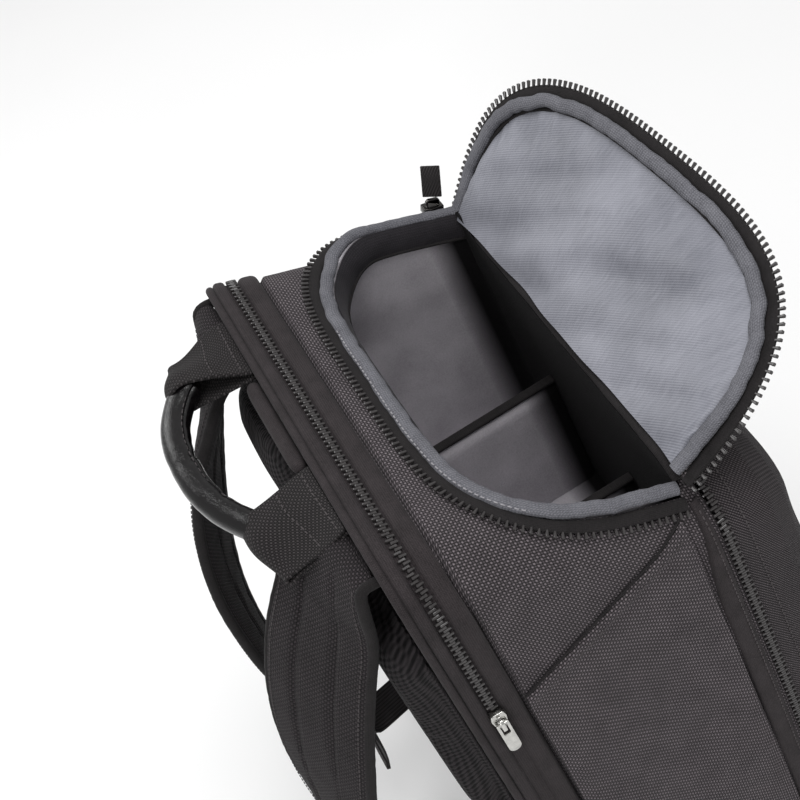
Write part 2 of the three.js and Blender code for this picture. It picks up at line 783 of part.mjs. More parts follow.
function strapPlace(side, t) {
  const curveOf = (key) => {
    const at = t * (STRAP_ROWS.length - 1);
    const i = Math.min(Math.floor(at), STRAP_ROWS.length - 2);
    const pick = (k) => STRAP_ROWS[clamp(k, 0, STRAP_ROWS.length - 1)][key];
    const s = at - i;
    const [a, b, c, d] = [pick(i - 1), pick(i), pick(i + 1), pick(i + 2)];
    return b + 0.5 * s * (c - a + s * (2 * a - 5 * b + 4 * c - d + s * (3 * (b - c) + d - a)));
  };
  const rootZ = HEIGHT - STRAP_ROOT_DROP;
  const y = ROOT_Y + STRAP_REACH * curveOf("back");
  return {
    place: vec(side * STRAP_X, y, rootZ - STRAP_LENGTH * curveOf("down")),
    twist: rad(STRAP_TWIST * curveOf("twist")),
    thickness: lerp(STRAP_ROOT_THICKNESS, STRAP_THICKNESS, clamp(curveOf("thick"), 0, 1)),
    width: lerp(STRAP_WIDTH, STRAP_END_WIDTH, clamp((t - 0.55) / 0.45, 0, 1)),
  };
}

function strapFrame(side, t) {
  const here = strapPlace(side, t);
  const step = 0.01;
  const ahead = strapPlace(side, Math.min(t + step, 1))
    .place.sub(strapPlace(side, Math.max(t - step, 0)).place)
    .normalize();
  const away = vec(1, 0, 0).cross(ahead).normalize();
  const across = vec(Math.cos(here.twist), 0, 0).addScaledVector(away, -side * Math.sin(here.twist));
  return { ...here, ahead, across, normal: across.clone().cross(ahead).normalize() };
}

function shoulderStrap(side) {
  return sweep(
    shares(PATH_STEPS).map((t) => {
      const frame = strapFrame(side, t);
      return { ...frame, section: padSection(frame.width, frame.thickness) };
    }),
  );
}

// The ladder buckle hangs on the strap's end, in line with it
function buckleMatrix(side) {
  const end = strapFrame(side, 1);
  const centre = end.place.clone().addScaledVector(end.ahead, BUCKLE_LENGTH / 2 + FIT_GAP);
  return new THREE.Matrix4().makeBasis(end.across, end.ahead, end.normal).setPosition(centre);
}

function ladderBuckle(side) {
  const frame = new THREE.Shape();
  const halfWidth = BUCKLE_WIDTH / 2;
  const halfLength = BUCKLE_LENGTH / 2;
  frame.moveTo(-halfWidth, -halfLength);
  frame.lineTo(halfWidth, -halfLength);
  frame.lineTo(halfWidth, halfLength);
  frame.lineTo(-halfWidth, halfLength);
  const slotHalf = WEBBING_WIDTH / 2 + SLOT_PLAY;
  const slotHeight = (BUCKLE_LENGTH - 3 * BUCKLE_BAR) / 2;
  for (const middle of [-1, 1].map((end) => (end * (BUCKLE_BAR + slotHeight)) / 2)) {
    const slot = new THREE.Path();
    slot.moveTo(-slotHalf, middle - slotHeight / 2);
    slot.lineTo(-slotHalf, middle + slotHeight / 2);
    slot.lineTo(slotHalf, middle + slotHeight / 2);
    slot.lineTo(slotHalf, middle - slotHeight / 2);
    frame.holes.push(slot);
  }
  const plate = new THREE.ExtrudeGeometry(frame, { depth: BUCKLE_THICKNESS, bevelEnabled: false });
  return plate.translate(0, 0, -BUCKLE_THICKNESS / 2).applyMatrix4(buckleMatrix(side));
}

// Wing corners: x is the share of its width from its outer edge, z the share of its height
const WING_CORNERS = [
  { x: 0, z: 0 },
  { x: 0, z: 1 },
  { x: 0.35, z: 1 },
  { x: 1, z: 0.2 },
  { x: 1, z: 0 },
];

function strapWing(side) {
  const placeOf = ({ x, z }) =>
    new THREE.Vector2(side * (WING_OUTER_X - WING_WIDTH * x), WING_Z + WING_HEIGHT * z);
  const shape = new THREE.Shape(WING_CORNERS.map(placeOf));
  const plate = new THREE.ExtrudeGeometry(shape, { depth: WING_THICKNESS, bevelEnabled: false });
  plate.rotateX(Math.PI / 2).translate(0, ROOT_Y + WING_THICKNESS, 0);
  return plate;
}

// Webbing from the buckle's lower bar down to the wing
function lowerWebbing(side) {
  const top = vec(0, BUCKLE_LENGTH / 2 + FIT_GAP, 0).applyMatrix4(buckleMatrix(side));
  const wingX = side * (WING_OUTER_X - WING_WIDTH / 2);
  const wingY = ROOT_Y + WING_THICKNESS;
  const bottom = vec(wingX, wingY + FIT_GAP + WEBBING_THICKNESS / 2, WING_Z + WING_HEIGHT * 0.25);
  const knee = vec(wingX, wingY + KNEE_BACK, WING_Z + WING_HEIGHT * 0.62);
  const start = strapFrame(side, 1);
  const below = top.clone().addScaledVector(start.ahead, WEBBING_WIDTH / 4);
  const points = [top, below, below.clone().lerp(knee, 0.5), knee, bottom];
  const curve = new THREE.CatmullRomCurve3(points, false, "centripetal");
  const half = WEBBING_WIDTH / 2;
  return sweep(
    shares(14).map((t) => {
      const ahead = curve.getTangent(t);
      const across = start.across.clone().lerp(vec(1, 0, 0), t);
      across.addScaledVector(ahead, -across.dot(ahead)).normalize();
      const normal = across.clone().cross(ahead).normalize();
      const section = box(-half, half, -WEBBING_THICKNESS / 2, WEBBING_THICKNESS / 2);
      return { place: curve.getPoint(t), across, normal, section };
    }),
  );
}

// Free tail of the webbing, hanging from the buckle's middle bar
function webbingTail(side) {
  const away = BUCKLE_THICKNESS / 2 + 2 * FIT_GAP + WEBBING_THICKNESS / 2;
  const place = vec(0, 0, 0).applyMatrix4(buckleMatrix(side));
  const { across, normal, ahead } = strapFrame(side, 1);
  const outward = normal.y > 0 ? 1 : -1;
  const top = place.addScaledVector(normal, outward * away);
  const half = WEBBING_WIDTH / 2;
  const thick = WEBBING_THICKNESS / 2;
  return sweep(
    shares(6).map((t) => {
      const hang = ahead.clone().lerp(vec(0, 0.1, -1), 0.7 * t).normalize();
      const spot = top.clone().addScaledVector(hang, TAIL_LENGTH * t);
      const turned = across.clone().cross(hang).normalize();
      return { place: spot, across, normal: turned, section: box(-half, half, -thick, thick) };
    }),
  );
}

// One side of a slider, as shares of half its width and half its length
const SLIDER_SIDE = [
  { x: 0.7, y: -1 },
  { x: 1, y: 0.4 },
  { x: 0.8, y: 1 },
];

// Zip slider with its bail, in its own frame: X across the chain, Y along it, Z outwards
function sliderBody() {
  const spots = [...SLIDER_SIDE, ...SLIDER_SIDE.map(({ x, y }) => ({ x: -x, y })).reverse()];
  const shape = new THREE.Shape(
    spots.map(({ x, y }) => new THREE.Vector2((x * SLIDER_WIDTH) / 2, (y * SLIDER_LENGTH) / 2)),
  );
  const plate = solidOf(
    new THREE.ExtrudeGeometry(shape, { depth: SLIDER_THICKNESS, bevelEnabled: false }),
  );
  const arch = new THREE.Shape();
  const reach = BAIL_LENGTH / 2;
  arch.moveTo(-reach, -CUT_PAST);
  arch.lineTo(-reach, BAIL_HEIGHT - BAIL_WALL);
  arch.lineTo(-reach + BAIL_WALL, BAIL_HEIGHT);
  arch.lineTo(reach - BAIL_WALL, BAIL_HEIGHT);
  arch.lineTo(reach, BAIL_HEIGHT - BAIL_WALL);
  arch.lineTo(reach, -CUT_PAST);
  const window = new THREE.Path();
  window.moveTo(-reach + BAIL_WALL, 0);
  window.lineTo(reach - BAIL_WALL, 0);
  window.lineTo(reach - BAIL_WALL, BAIL_HEIGHT - BAIL_WALL);
  window.lineTo(-reach + BAIL_WALL, BAIL_HEIGHT - BAIL_WALL);
  arch.holes.push(window);
  const bail = new THREE.ExtrudeGeometry(arch, { depth: BAIL_WIDTH, bevelEnabled: false });
  bail.translate(0, 0, -BAIL_WIDTH / 2);
  bail.applyMatrix4(new THREE.Matrix4().makeBasis(vec(0, 1, 0), vec(0, 0, 1), vec(1, 0, 0)));
  return geometryOf(plate.add(solidOf(bail.translate(0, 0, SLIDER_THICKNESS))));
}

// Metal pull: a bar under the bail, two arms and a leaf, hanging along -Y from the bar
function pullLeaf() {
  const half = PULL_WIDTH / 2;
  const leaf = new THREE.Shape();
  leaf.moveTo(-half, PULL_BAR_RADIUS);
  leaf.lineTo(-half, -PULL_LENGTH + half);
  leaf.absarc(0, -PULL_LENGTH + half, half, Math.PI, 2 * Math.PI, false);
  leaf.lineTo(half, PULL_BAR_RADIUS);
  const eye = new THREE.Path();
  const inner = half - PULL_ARM;
  eye.moveTo(-inner, -PULL_BAR_RADIUS);
  eye.lineTo(-inner, -PULL_EYE_LENGTH);
  eye.lineTo(inner, -PULL_EYE_LENGTH);
  eye.lineTo(inner, -PULL_BAR_RADIUS);
  leaf.holes.push(eye);
  const settings = { depth: PULL_THICKNESS, bevelEnabled: false, curveSegments: SIDE_STEPS };
  const plate = new THREE.ExtrudeGeometry(leaf, settings);
  return plate.translate(0, 0, -PULL_THICKNESS / 2);
}

// A slider's own frame on the near side of the body at a depth and a height
function sideFrame(y, z) {
  const place = sideSpot(-1, y, z).add(vec(-FIT_GAP, 0, 0));
  return new THREE.Matrix4().makeBasis(vec(0, -1, 0), vec(0, 0, 1), vec(-1, 0, 0)).setPosition(place);
}

function addSlider(name, y, z) {
  const frame = sideFrame(y, z);
  addPiece(`${name}_slider`, sliderBody().applyMatrix4(frame), "metal");
  const pivot = frame.clone().multiply(
    new THREE.Matrix4().makeTranslation(0, 0, SLIDER_THICKNESS + PULL_AXIS_RISE),
  );
  addPiece(`${name}_pull`, pullLeaf().applyMatrix4(pivot), "metal");
}

// Slider at the far end of the open hatch zip, with a woven tag on its bail
function hatchSliderFrame() {
  const y = HATCH_HINGE_Y + HATCH_LENGTH * 0.1;
  const x = HATCH_HALF + SLIDER_WIDTH / 2 + FIT_GAP;
  const rimX = HATCH_HALF + FIT_GAP + RIM_WIDTH / 2;
  const rimTop = skinTop(rimX, y) + RIM_HEIGHT + RIM_WIDTH / 2 + rimRise(rimX, y);
  const place = vec(x, y, rimTop + 3 * FIT_GAP);
  const along = vec(0, 1, SLOPE).normalize();
  return new THREE.Matrix4().makeBasis(vec(1, 0, 0), along, topNormal).setPosition(place);
}

function hatchTag() {
  const frame = hatchSliderFrame();
  const bailTop = SLIDER_THICKNESS + BAIL_HEIGHT;
  const foot = vec(0, 0, bailTop + FIT_GAP + TAG_THICKNESS / 2).applyMatrix4(frame);
  const lean = vec(0.42, -0.42, 0.8).normalize();
  const across = vec(1, 1, 0).normalize();
  const normal = across.clone().cross(lean).normalize();
  const section = box(-TAG_WIDTH / 2, TAG_WIDTH / 2, -TAG_THICKNESS / 2, TAG_THICKNESS / 2);
  return sweep(
    shares(3).map((t) => {
      const place = foot.clone().addScaledVector(lean, TAG_LENGTH * t);
      return { place, across, normal, section };
    }),
  );
}

addPiece("main_shell", mainShell(), "weave");
addPiece("base_panel", basePanel(), "plastic");
addPiece("zip_band", zipBand(), "tape");
addPiece("laptop_zip_chain", chainStrip(CHAIN_Y, ZIP_END_Z + SLIDER_LENGTH + FIT_GAP), "plastic");
addPiece("front_pocket", frontPocket(), "rib");
addPiece("front_zip_chain", chainStrip(FRONT_Y, FRONT_SLIDER_Z + SLIDER_LENGTH / 2 + FIT_GAP), "plastic");
addPiece("camera_bay", cameraBay(), "brushed");
addPiece("hatch_rim_zip", hatchRim(), "tape");
addPiece("hatch_binding", hatchBinding(), "lining");
addPiece("hatch_hinge_fold", hingeFold(), "weave");
addPiece("hatch_lid", lidSheet(0, LID_THICKNESS, 0), "weave");
const liningInner = -FIT_GAP - LINING_THICKNESS;
const liningMargin = LID_BINDING_WIDTH + LINING_MARGIN;
addPiece("lid_lining", lidSheet(liningInner, LINING_THICKNESS, liningMargin), "lining");
const bindingHigh = LID_BINDING_WIDTH - CUT_PAST;
const lidBinding = lidEdge(LID_BINDING_WIDTH, 0, bindingHigh, -LID_BINDING_DEPTH, -FIT_GAP);
addPiece("lid_binding", lidBinding, "lining");
addPiece("lid_zip", lidEdge(0, FIT_GAP, LID_ZIP_WIDTH, 0, LID_EDGE_THICKNESS), "tape");
addPiece("back_board", backBoard(), "mesh");
addPiece("back_top_roll", topRoll(), "tape");
const lumbarTop = PAD_SPLIT_Z - PAD_CHANNEL;
addPiece("lumbar_pad", backPad(-LUMBAR_HALF, LUMBAR_HALF, PAD_BASE_Z, lumbarTop), "mesh");
addPiece("handle_grip", gripSolid(0), "leather");
addPiece("handle_tab_left", handleTab(-1, NEAR_TAB_SAG, NEAR_TAB_END_WIDTH), "webbing");
addPiece("handle_tab_right", handleTab(1, FAR_TAB_SAG, FAR_TAB_END_WIDTH), "webbing");

for (const [word, side] of [
  ["left", -1],
  ["right", 1],
]) {
  const [low, high] = [(side * PAD_CHANNEL) / 2, side * PAD_HALF].sort((a, b) => a - b);
  addPiece(`bay_divider_${word}`, bayDivider(side), "brushed");
  addPiece(`side_panel_${word}`, sidePanel(side), "weave");
  addPiece(`front_zip_flap_${word}`, frontFlap(side), "tape");
  addPiece(`back_pad_${word}`, backPad(low, high, PAD_SPLIT_Z, PAD_TOP_Z), "mesh");
  addPiece(`shoulder_strap_${word}`, shoulderStrap(side), "webbing");
  addPiece(`strap_buckle_${word}`, ladderBuckle(side), "plastic");
  addPiece(`strap_wing_${word}`, strapWing(side), "weave");
  addPiece(`strap_webbing_${word}`, lowerWebbing(side), "webbing");
  addPiece(`strap_tail_${word}`, webbingTail(side), "webbing");
}

addSlider("laptop", CHAIN_Y, ZIP_END_Z + SLIDER_LENGTH / 2);
addSlider("front", FRONT_Y, FRONT_SLIDER_Z);
addPiece("hatch_slider", sliderBody().applyMatrix4(hatchSliderFrame()), "metal");
addPiece("hatch_tag", hatchTag(), "webbing");

export default bag;
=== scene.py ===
"""Looks of a padded camera backpack that stands upright with its top hatch open.

Metres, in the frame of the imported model: X runs across the back, +Y points to the wearer, +Z is up.
"""

import math

import bpy
import numpy as np
from mathutils import Matrix, Vector, noise


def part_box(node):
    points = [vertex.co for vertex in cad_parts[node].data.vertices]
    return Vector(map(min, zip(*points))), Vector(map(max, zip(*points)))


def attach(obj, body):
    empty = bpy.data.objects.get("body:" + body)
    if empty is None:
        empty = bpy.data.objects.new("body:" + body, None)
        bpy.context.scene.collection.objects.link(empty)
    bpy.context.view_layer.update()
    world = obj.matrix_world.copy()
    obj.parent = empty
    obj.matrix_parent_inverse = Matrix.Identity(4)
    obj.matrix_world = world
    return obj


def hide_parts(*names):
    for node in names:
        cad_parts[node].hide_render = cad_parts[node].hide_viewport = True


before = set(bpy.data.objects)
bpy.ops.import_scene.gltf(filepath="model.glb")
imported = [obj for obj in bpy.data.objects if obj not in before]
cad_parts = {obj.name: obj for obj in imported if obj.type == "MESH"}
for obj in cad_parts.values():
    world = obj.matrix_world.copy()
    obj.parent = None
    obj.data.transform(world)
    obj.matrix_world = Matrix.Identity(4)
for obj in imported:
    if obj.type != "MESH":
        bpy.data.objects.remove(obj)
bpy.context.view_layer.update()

# Body
HEIGHT = 0.470
WIDTH = 0.304
FRONT_WIDTH = 0.296
BODY_DEPTH = 0.162
BACK_Y = 0.090
FRONT_Y = BACK_Y - BODY_DEPTH
SLOPE = math.tan(math.radians(21.73))
TOP_RADIUS = 0.042
BASE_RADIUS = 0.026
SIDE_SWELL = 0.004
FLOOR_Z = 0.0033
BAND_WIDTH = 0.027
BAND_FRONT_Y = BACK_Y - BAND_WIDTH
CHAIN_Y = BACK_Y - 0.42 * BAND_WIDTH
ZIP_END_Z = 0.342
SHELL_WALL = 0.008
BAND_CLOTH = 0.003
SIDE_CLOTH = 0.0014
FLAP_CLOTH = 0.001
FLAP_START = 0.0051
FLAP_WIDTH = 0.013
FLAP_TIP_WIDTH = 0.006

# Front pocket
POCKET_DEPTH = 0.046
POCKET_ROUND = 0.030
POCKET_LEAN = 0.006
FRONT_SLIDER_Z = 0.118
POCKET_FACE_SHARE = 0.72

# Hatch
HATCH_HALF = 0.136
HATCH_LENGTH = 0.103
HATCH_HINGE_Y = FRONT_Y + 0.012
HATCH_POWER = 4
RIM_WIDTH = 0.006
RIM_RISE = 0.015
BINDING_WIDTH = 0.0082
COLLAR_DEPTH = 0.020
COLLAR_CLOTH = 0.0008
BAY_CLOTH = 0.003
BAY_FLOOR_Z = 0.241
BAY_CORNER = 0.018

# Lid
LID_HALF = 0.137
LID_LENGTH = 0.115
LID_POWER = 3.15
LID_ANGLE = math.radians(120)
LID_TWIST = math.radians(13.5)
LID_CORNER_DROP = 0.006
LID_THICKNESS = 0.007
LID_CLOTH = 0.0022
LINING_CLOTH = 0.0008
LINING_MARGIN = 0.0092
HINGE_FOLD_WIDTH = 0.007

# Back, handle and straps
ROOT_Y = 0.0936
PAD_VOXEL = 0.004
PUFF_PRESSURE = 4.0
PUFF_STEPS = 20
PUFF_CAP = 0.006
GRIP_RADIUS = 0.008
GRIP_HALF = 0.056
GRIP_REACH = 0.061
GRIP_BOW = 0.023
GRIP_TILT = 0.0105
GRIP_SAG = 0.0055
GRIP_DROP = 0.002
TAB_INNER_X = 0.043
TAB_WIDTH = 0.053
TAB_CLOTH = 0.0022
TAB_END_WIDTH = {-1: 0.042, 1: 0.028}
STRAP_X = 0.094
STRAP_WIDTH = 0.072
STRAP_END_WIDTH = 0.052
STRAP_THICKNESS = 0.013
STRAP_ROOT_THICKNESS = 0.006
STRAP_TWIST = math.radians(28)
STRAP_ROOT_DROP = 0.013
STRAP_REACH = 0.091
STRAP_LENGTH = 0.336
SEAM_FRONT_Z = 0.392
SEAM_BACK_Z = 0.349
SIDE_PANEL_BASE_Z = 0.034
TOOTH_PITCH = 0.0041
STITCH_PITCH = 0.0036
BUCKLE_LENGTH = 0.024
WEBBING_WIDTH = 0.025
WEBBING_THICKNESS = 0.0019
TAIL_LENGTH = 0.062
WING_X = 0.1255
WING_Z = 0.026
WING_HEIGHT = 0.064

SIDES = {"left": -1, "right": 1}
UP = Vector((0, 0, 1))
BACKWARDS = Vector((0, 1, 0))


def lerp(a, b, t):
    return a + (b - a) * t


def clamp(value, low=0.0, high=1.0):
    return max(low, min(high, value))


def smooth(low, high, value):
    t = clamp((value - low) / (high - low))
    return t * t * (3 - 2 * t)


def glide(a, b, c, d, t):
    """Between b and c on a smooth line through four values or places in a row"""
    return b + (c - a + (a * 2 - b * 5 + c * 4 - d + (b * 3 - c * 3 + d - a) * t) * t) * 0.5 * t


def ripple(point, size, seed=0.0):
    """Soft noise from -1 to 1 that varies over a length"""
    return noise.noise(Vector(point) / size + Vector((seed, seed * 0.7, seed * 1.3)))


# Making pieces


def deselect():
    bpy.ops.object.select_all(action="DESELECT")


def pick(piece):
    deselect()
    piece.select_set(True)
    bpy.context.view_layer.objects.active = piece


def apply(piece, kind, **settings):
    pick(piece)
    modifier = piece.modifiers.new(kind.lower(), kind)
    for name, value in settings.items():
        setattr(modifier, name, value)
    bpy.ops.object.modifier_apply(modifier=modifier.name)


def soften(piece, levels=1):
    apply(piece, "SUBSURF", levels=levels, render_levels=levels)


def thicken(piece, thickness, offset=-1.0):
    apply(piece, "SOLIDIFY", thickness=thickness, offset=offset)


def smooth_shade(piece, degrees=50):
    pick(piece)
    bpy.ops.object.shade_smooth_by_angle(angle=math.radians(degrees))


def surface(name, across, along, place, flat=None):
    """A grid primitive put on a surface: u runs across and v along it, both 0 to 1.
    Its UV map holds metres, measured over the cloth from the grid's middle, or given by flat."""
    deselect()
    bpy.ops.mesh.primitive_grid_add(x_subdivisions=across, y_subdivisions=along, size=1)
    piece = bpy.context.object
    piece.name = name
    mesh = piece.data
    start = np.empty(len(mesh.vertices) * 3)
    mesh.vertices.foreach_get("co", start)
    shares = start.reshape(-1, 3)[:, :2] + 0.5
    column = np.rint(shares[:, 0] * across).astype(int)
    row = np.rint(shares[:, 1] * along).astype(int)
    spots = np.empty((along + 1, across + 1, 3))
    for i, j in zip(column, row):
        spots[j, i] = place(i / across, j / along)
    mesh.vertices.foreach_set("co", spots[row, column].ravel())

    over = np.linalg.norm(np.diff(spots, axis=1), axis=2)
    up = np.linalg.norm(np.diff(spots, axis=0), axis=2)
    wide = np.concatenate([np.zeros((along + 1, 1)), np.cumsum(over, axis=1)], axis=1)
    high = np.concatenate([np.zeros((1, across + 1)), np.cumsum(up, axis=0)], axis=0)
    wide -= wide[:, across // 2][:, None]
    high -= high[along // 2][None, :]
    if flat:
        for j, i in np.ndindex(wide.shape):
            wide[j, i], high[j, i] = flat(i / across, j / along)
    corner = np.empty(len(mesh.loops), int)
    mesh.loops.foreach_get("vertex_index", corner)
    uv = np.stack([wide[row[corner], column[corner]], high[row[corner], column[corner]]], axis=1)
    mesh.uv_layers[0].data.foreach_set("uv", uv.ravel())
    mesh.update()
    return piece


def edit(piece, *steps):
    """Runs edit-mode operators on the whole piece: each step is an operator and its settings"""
    pick(piece)
    bpy.ops.object.mode_set(mode="EDIT")
    bpy.ops.mesh.select_all(action="SELECT")
    for operator, settings in steps:
        operator(**settings)
    bpy.ops.object.mode_set(mode="OBJECT")


def face_out(piece):
    edit(piece, (bpy.ops.mesh.normals_make_consistent, {"inside": False}))


def close(piece, ends=True):
    """Joins the seam of a grid that runs round, caps its ends and faces it outwards"""
    steps = [(bpy.ops.mesh.remove_doubles, {"threshold": 1e-6})]
    if ends:
        steps.append((bpy.ops.mesh.fill_holes, {"sides": 0}))
    steps.append((bpy.ops.mesh.normals_make_consistent, {"inside": False}))
    edit(piece, *steps)


def sweep(name, steps, sides, frame_at, section_at, ends=True):
    """A closed section swept along a route. frame_at gives a place, an across and a normal for a
    share of the route; section_at gives offsets in those two for an angle share and a route share."""

    def place(u, v):
        spot, across, normal = frame_at(v)
        a, b = section_at(u, v)
        return spot + across * a + normal * b

    piece = surface(name, sides, steps, place)
    close(piece, ends)
    return piece


def oval(width, height, power=2.0):
    """A rounded section of a width and a height: a power of 2 is an ellipse, more is squarer"""

    def at(u):
        angle = 2 * math.pi * u
        c, s = math.cos(angle), math.sin(angle)
        bend = 2 / power
        return (
            math.copysign(abs(c) ** bend, c) * width / 2,
            math.copysign(abs(s) ** bend, s) * height / 2,
        )

    return lambda u, v: at(u)


class Route:
    """A line through points, read by its share of the whole length, with normals if it has them"""

    def __init__(self, points, normals=None):
        self.points = np.array([tuple(p) for p in points])
        self.normals = None if normals is None else np.array([tuple(n) for n in normals])
        steps = np.linalg.norm(np.diff(self.points, axis=0), axis=1)
        self.shares = np.concatenate([[0], np.cumsum(steps)])
        self.length = float(self.shares[-1])
        self.shares /= self.length

    def read(self, table, share):
        return Vector([np.interp(share, self.shares, table[:, k]) for k in range(3)])

    def at(self, share):
        return self.read(self.points, share)

    def ahead(self, share):
        step = 0.004
        return (self.at(min(share + step, 1)) - self.at(max(share - step, 0))).normalized()

    def frame(self, share, normal=None):
        """The place, the direction across and the normal, squared to the route"""
        ahead = self.ahead(share)
        up = self.read(self.normals, share) if normal is None else Vector(normal)
        across = ahead.cross(up).normalized()
        return self.at(share), across, across.cross(ahead).normalized()

    def shifted(self, aside=0.0, out=0.0, low=0.0, high=1.0, steps=200):
        """The same line moved across and outwards, whole or in part"""
        spots, normals = [], []
        for k in range(steps + 1):
            spot, across, normal = self.frame(lerp(low, high, k / steps))
            spots.append(spot + across * aside + normal * out)
            normals.append(normal)
        return Route(spots, normals)


def matrix_of(place, across, ahead, normal):
    made = Matrix((across, ahead, normal)).transposed().to_4x4()
    made.translation = place
    return made


def copies(name, master, places):
    """One mesh of many copies of a small master, each at its own matrix"""
    mesh = master.data
    points = np.array([tuple(v.co) + (1,) for v in mesh.vertices])
    faces = [tuple(p.vertices) for p in mesh.polygons]
    count = len(points)
    moved = np.concatenate([(points @ np.array(m).T)[:, :3] for m in places])
    joined = bpy.data.meshes.new(name)
    starts = [k * count for k in range(len(places))]
    joined.from_pydata(moved.tolist(), [], [tuple(i + at for i in f) for at in starts for f in faces])
    piece = bpy.data.objects.new(name, joined)
    bpy.context.scene.collection.objects.link(piece)
    bpy.data.objects.remove(master)
    return piece


def stitches(name, route, finish, pitch=STITCH_PITCH, slot="webbing", size=0.00055):
    """A row of sewn stitches that lie along a route"""
    deselect()
    bpy.ops.mesh.primitive_cube_add(size=1)
    stitch = bpy.context.object
    edit(stitch, (bpy.ops.transform.resize, {"value": (size * 1.5, pitch * 0.66, size)}))
    apply(stitch, "BEVEL", width=size * 0.4, segments=1, limit_method="NONE")
    count = max(2, int(route.length / pitch))
    places = []
    for k in range(count):
        spot, across, normal = route.frame((k + 0.5) / count)
        places.append(matrix_of(spot, across, normal.cross(across), normal))
    piece = copies(name, stitch, places)
    smooth_shade(piece, 60)
    return place_piece(piece, None, slot, finish)


def edging(name, route, width, height, finish, slot="tape", node=None, power=2.0, pucker=0.0):
    """A sewn edge, piping or tape along a route, puckered a little where its stitches draw it in"""
    steps = int(clamp(route.length / 0.0022, 40, 620))

    def section(u, v):
        a, b = oval(width, height, power)(u, v)
        round_it = (math.cos(2 * math.pi * u) * 0.002, math.sin(2 * math.pi * u) * 0.002)
        draw = 1 + pucker * ripple((v * route.length, *round_it), 0.0045, 3.3)
        return a * draw, b * draw

    piece = sweep(name, steps, 14, route.frame, section)
    smooth_shade(piece)
    return place_piece(piece, node, slot, finish)


def merged_copy(name, node):
    """A piece of its own with the shape of a node, its loose triangles joined"""
    piece = bpy.data.objects.new(name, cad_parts[node].data.copy())
    bpy.context.scene.collection.objects.link(piece)
    edit(piece, (bpy.ops.mesh.remove_doubles, {"threshold": 1e-5}))
    return piece


def eased_copy(name, node, width, slot, finish, body="root"):
    """A hard piece's own shape with its edges rounded over"""
    piece = merged_copy(name, node)
    edit(piece, (bpy.ops.mesh.dissolve_limited, {"angle_limit": math.radians(2)}))
    sharp = math.radians(35)
    apply(piece, "BEVEL", width=width, segments=3, limit_method="ANGLE", angle_limit=sharp)
    smooth_shade(piece, 40)
    box_uv(piece)
    return place_piece(piece, node, slot, finish, body)


def place_piece(piece, node, slot, finish, body="root"):
    """The piece takes a node's place, rides on its body and gets its material"""
    piece.data.materials.clear()
    piece.data.materials.append(finish)
    if node:
        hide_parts(node)
    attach(piece, body)
    return piece


# Finishes

# What every cloth shares: rough, hardly shiny, a trace of fuzz
CLOTH = {"Roughness": 0.85, "Specular_IOR_Level": 0.16, "Sheen_Weight": 0.03}


class Shade:
    """A socket in a material's nodes, so that shader maths reads as arithmetic"""

    def __init__(self, tree, socket=None):
        self.tree = tree
        self.socket = socket

    def node(self, kind, settings=None, sockets=None, out=0):
        made = self.tree.nodes.new(f"ShaderNode{kind}")
        for name, value in (settings or {}).items():
            setattr(made, name, value)
        for key, value in (sockets or {}).items():
            if isinstance(value, Shade):
                self.tree.links.new(value.socket, made.inputs[key])
            else:
                made.inputs[key].default_value = value
        return Shade(self.tree, made.outputs[out])

    def math(self, operation, *values):
        return self.node("Math", {"operation": operation}, dict(enumerate(values)))

    def __add__(self, other):
        return self.math("ADD", self, other)

    def __sub__(self, other):
        return self.math("SUBTRACT", self, other)

    def __rsub__(self, other):
        return self.math("SUBTRACT", other, self)

    def __mul__(self, other):
        return self.math("MULTIPLY", self, other)

    def __pow__(self, other):
        return self.math("POWER", self, other)

    def __gt__(self, other):
        return self.math("GREATER_THAN", self, other)

    def __abs__(self):
        return self.math("ABSOLUTE", self)

    __radd__ = __add__
    __rmul__ = __mul__

    def wave(self, pitch):
        """A sine of a length, from -1 to 1"""
        return self.math("SINE", self * (2 * math.pi / pitch))

    def limit(self):
        return self.node("Clamp", None, {"Value": self})

    def axes(self):
        split = self.node("SeparateXYZ", None, {0: self})
        outputs = split.socket.node.outputs
        return [Shade(self.tree, output) for output in outputs]

    def tint(self, low, high):
        """A colour between two, by this value"""
        return self.node("Mix", {"data_type": "RGBA"}, {0: self, 6: (*low, 1), 7: (*high, 1)}, out=2)

    def clouds(self, scale, detail=2.0, rough=0.5):
        """Noise over these coordinates"""
        sockets = {"Vector": self, "Scale": scale, "Detail": detail, "Roughness": rough}
        return self.node("TexNoise", None, sockets)


def linear(*levels):
    """A colour from 0 to 255 levels as the shader's linear values"""
    return tuple(
        (x / 255 / 12.92) if x / 255 <= 0.04045 else ((x / 255 + 0.055) / 1.055) ** 2.4 for x in levels
    )


def finish_of(name, build, dark=(), light=(), **constants):
    """A material: build gets the UV and object coordinates and returns the varying sockets. Its shade
    runs between a dark and a light colour, and its height, with a depth in metres, is the bump."""
    made = bpy.data.materials.new(name)
    made.use_nodes = True
    tree = made.node_tree
    shader = tree.nodes["Principled BSDF"]
    for socket, value in constants.items():
        shader.inputs[socket.replace("_", " ")].default_value = value
    start = Shade(tree)
    uv = start.node("TexCoord", out=2)
    place = start.node("TexCoord", out=3)
    varying = build(uv, place)
    if "shade" in varying:
        varying["Base_Color"] = varying.pop("shade").tint(linear(*dark), linear(*light))
    height = varying.pop("height", None)
    if height:
        value, distance = height
        bump = start.node("Bump", None, {"Height": value, "Distance": distance, "Strength": 1.0})
        tree.links.new(bump.socket, shader.inputs["Normal"])
    for socket, value in varying.items():
        tree.links.new(value.socket, shader.inputs[socket.replace("_", " ")])
    return made


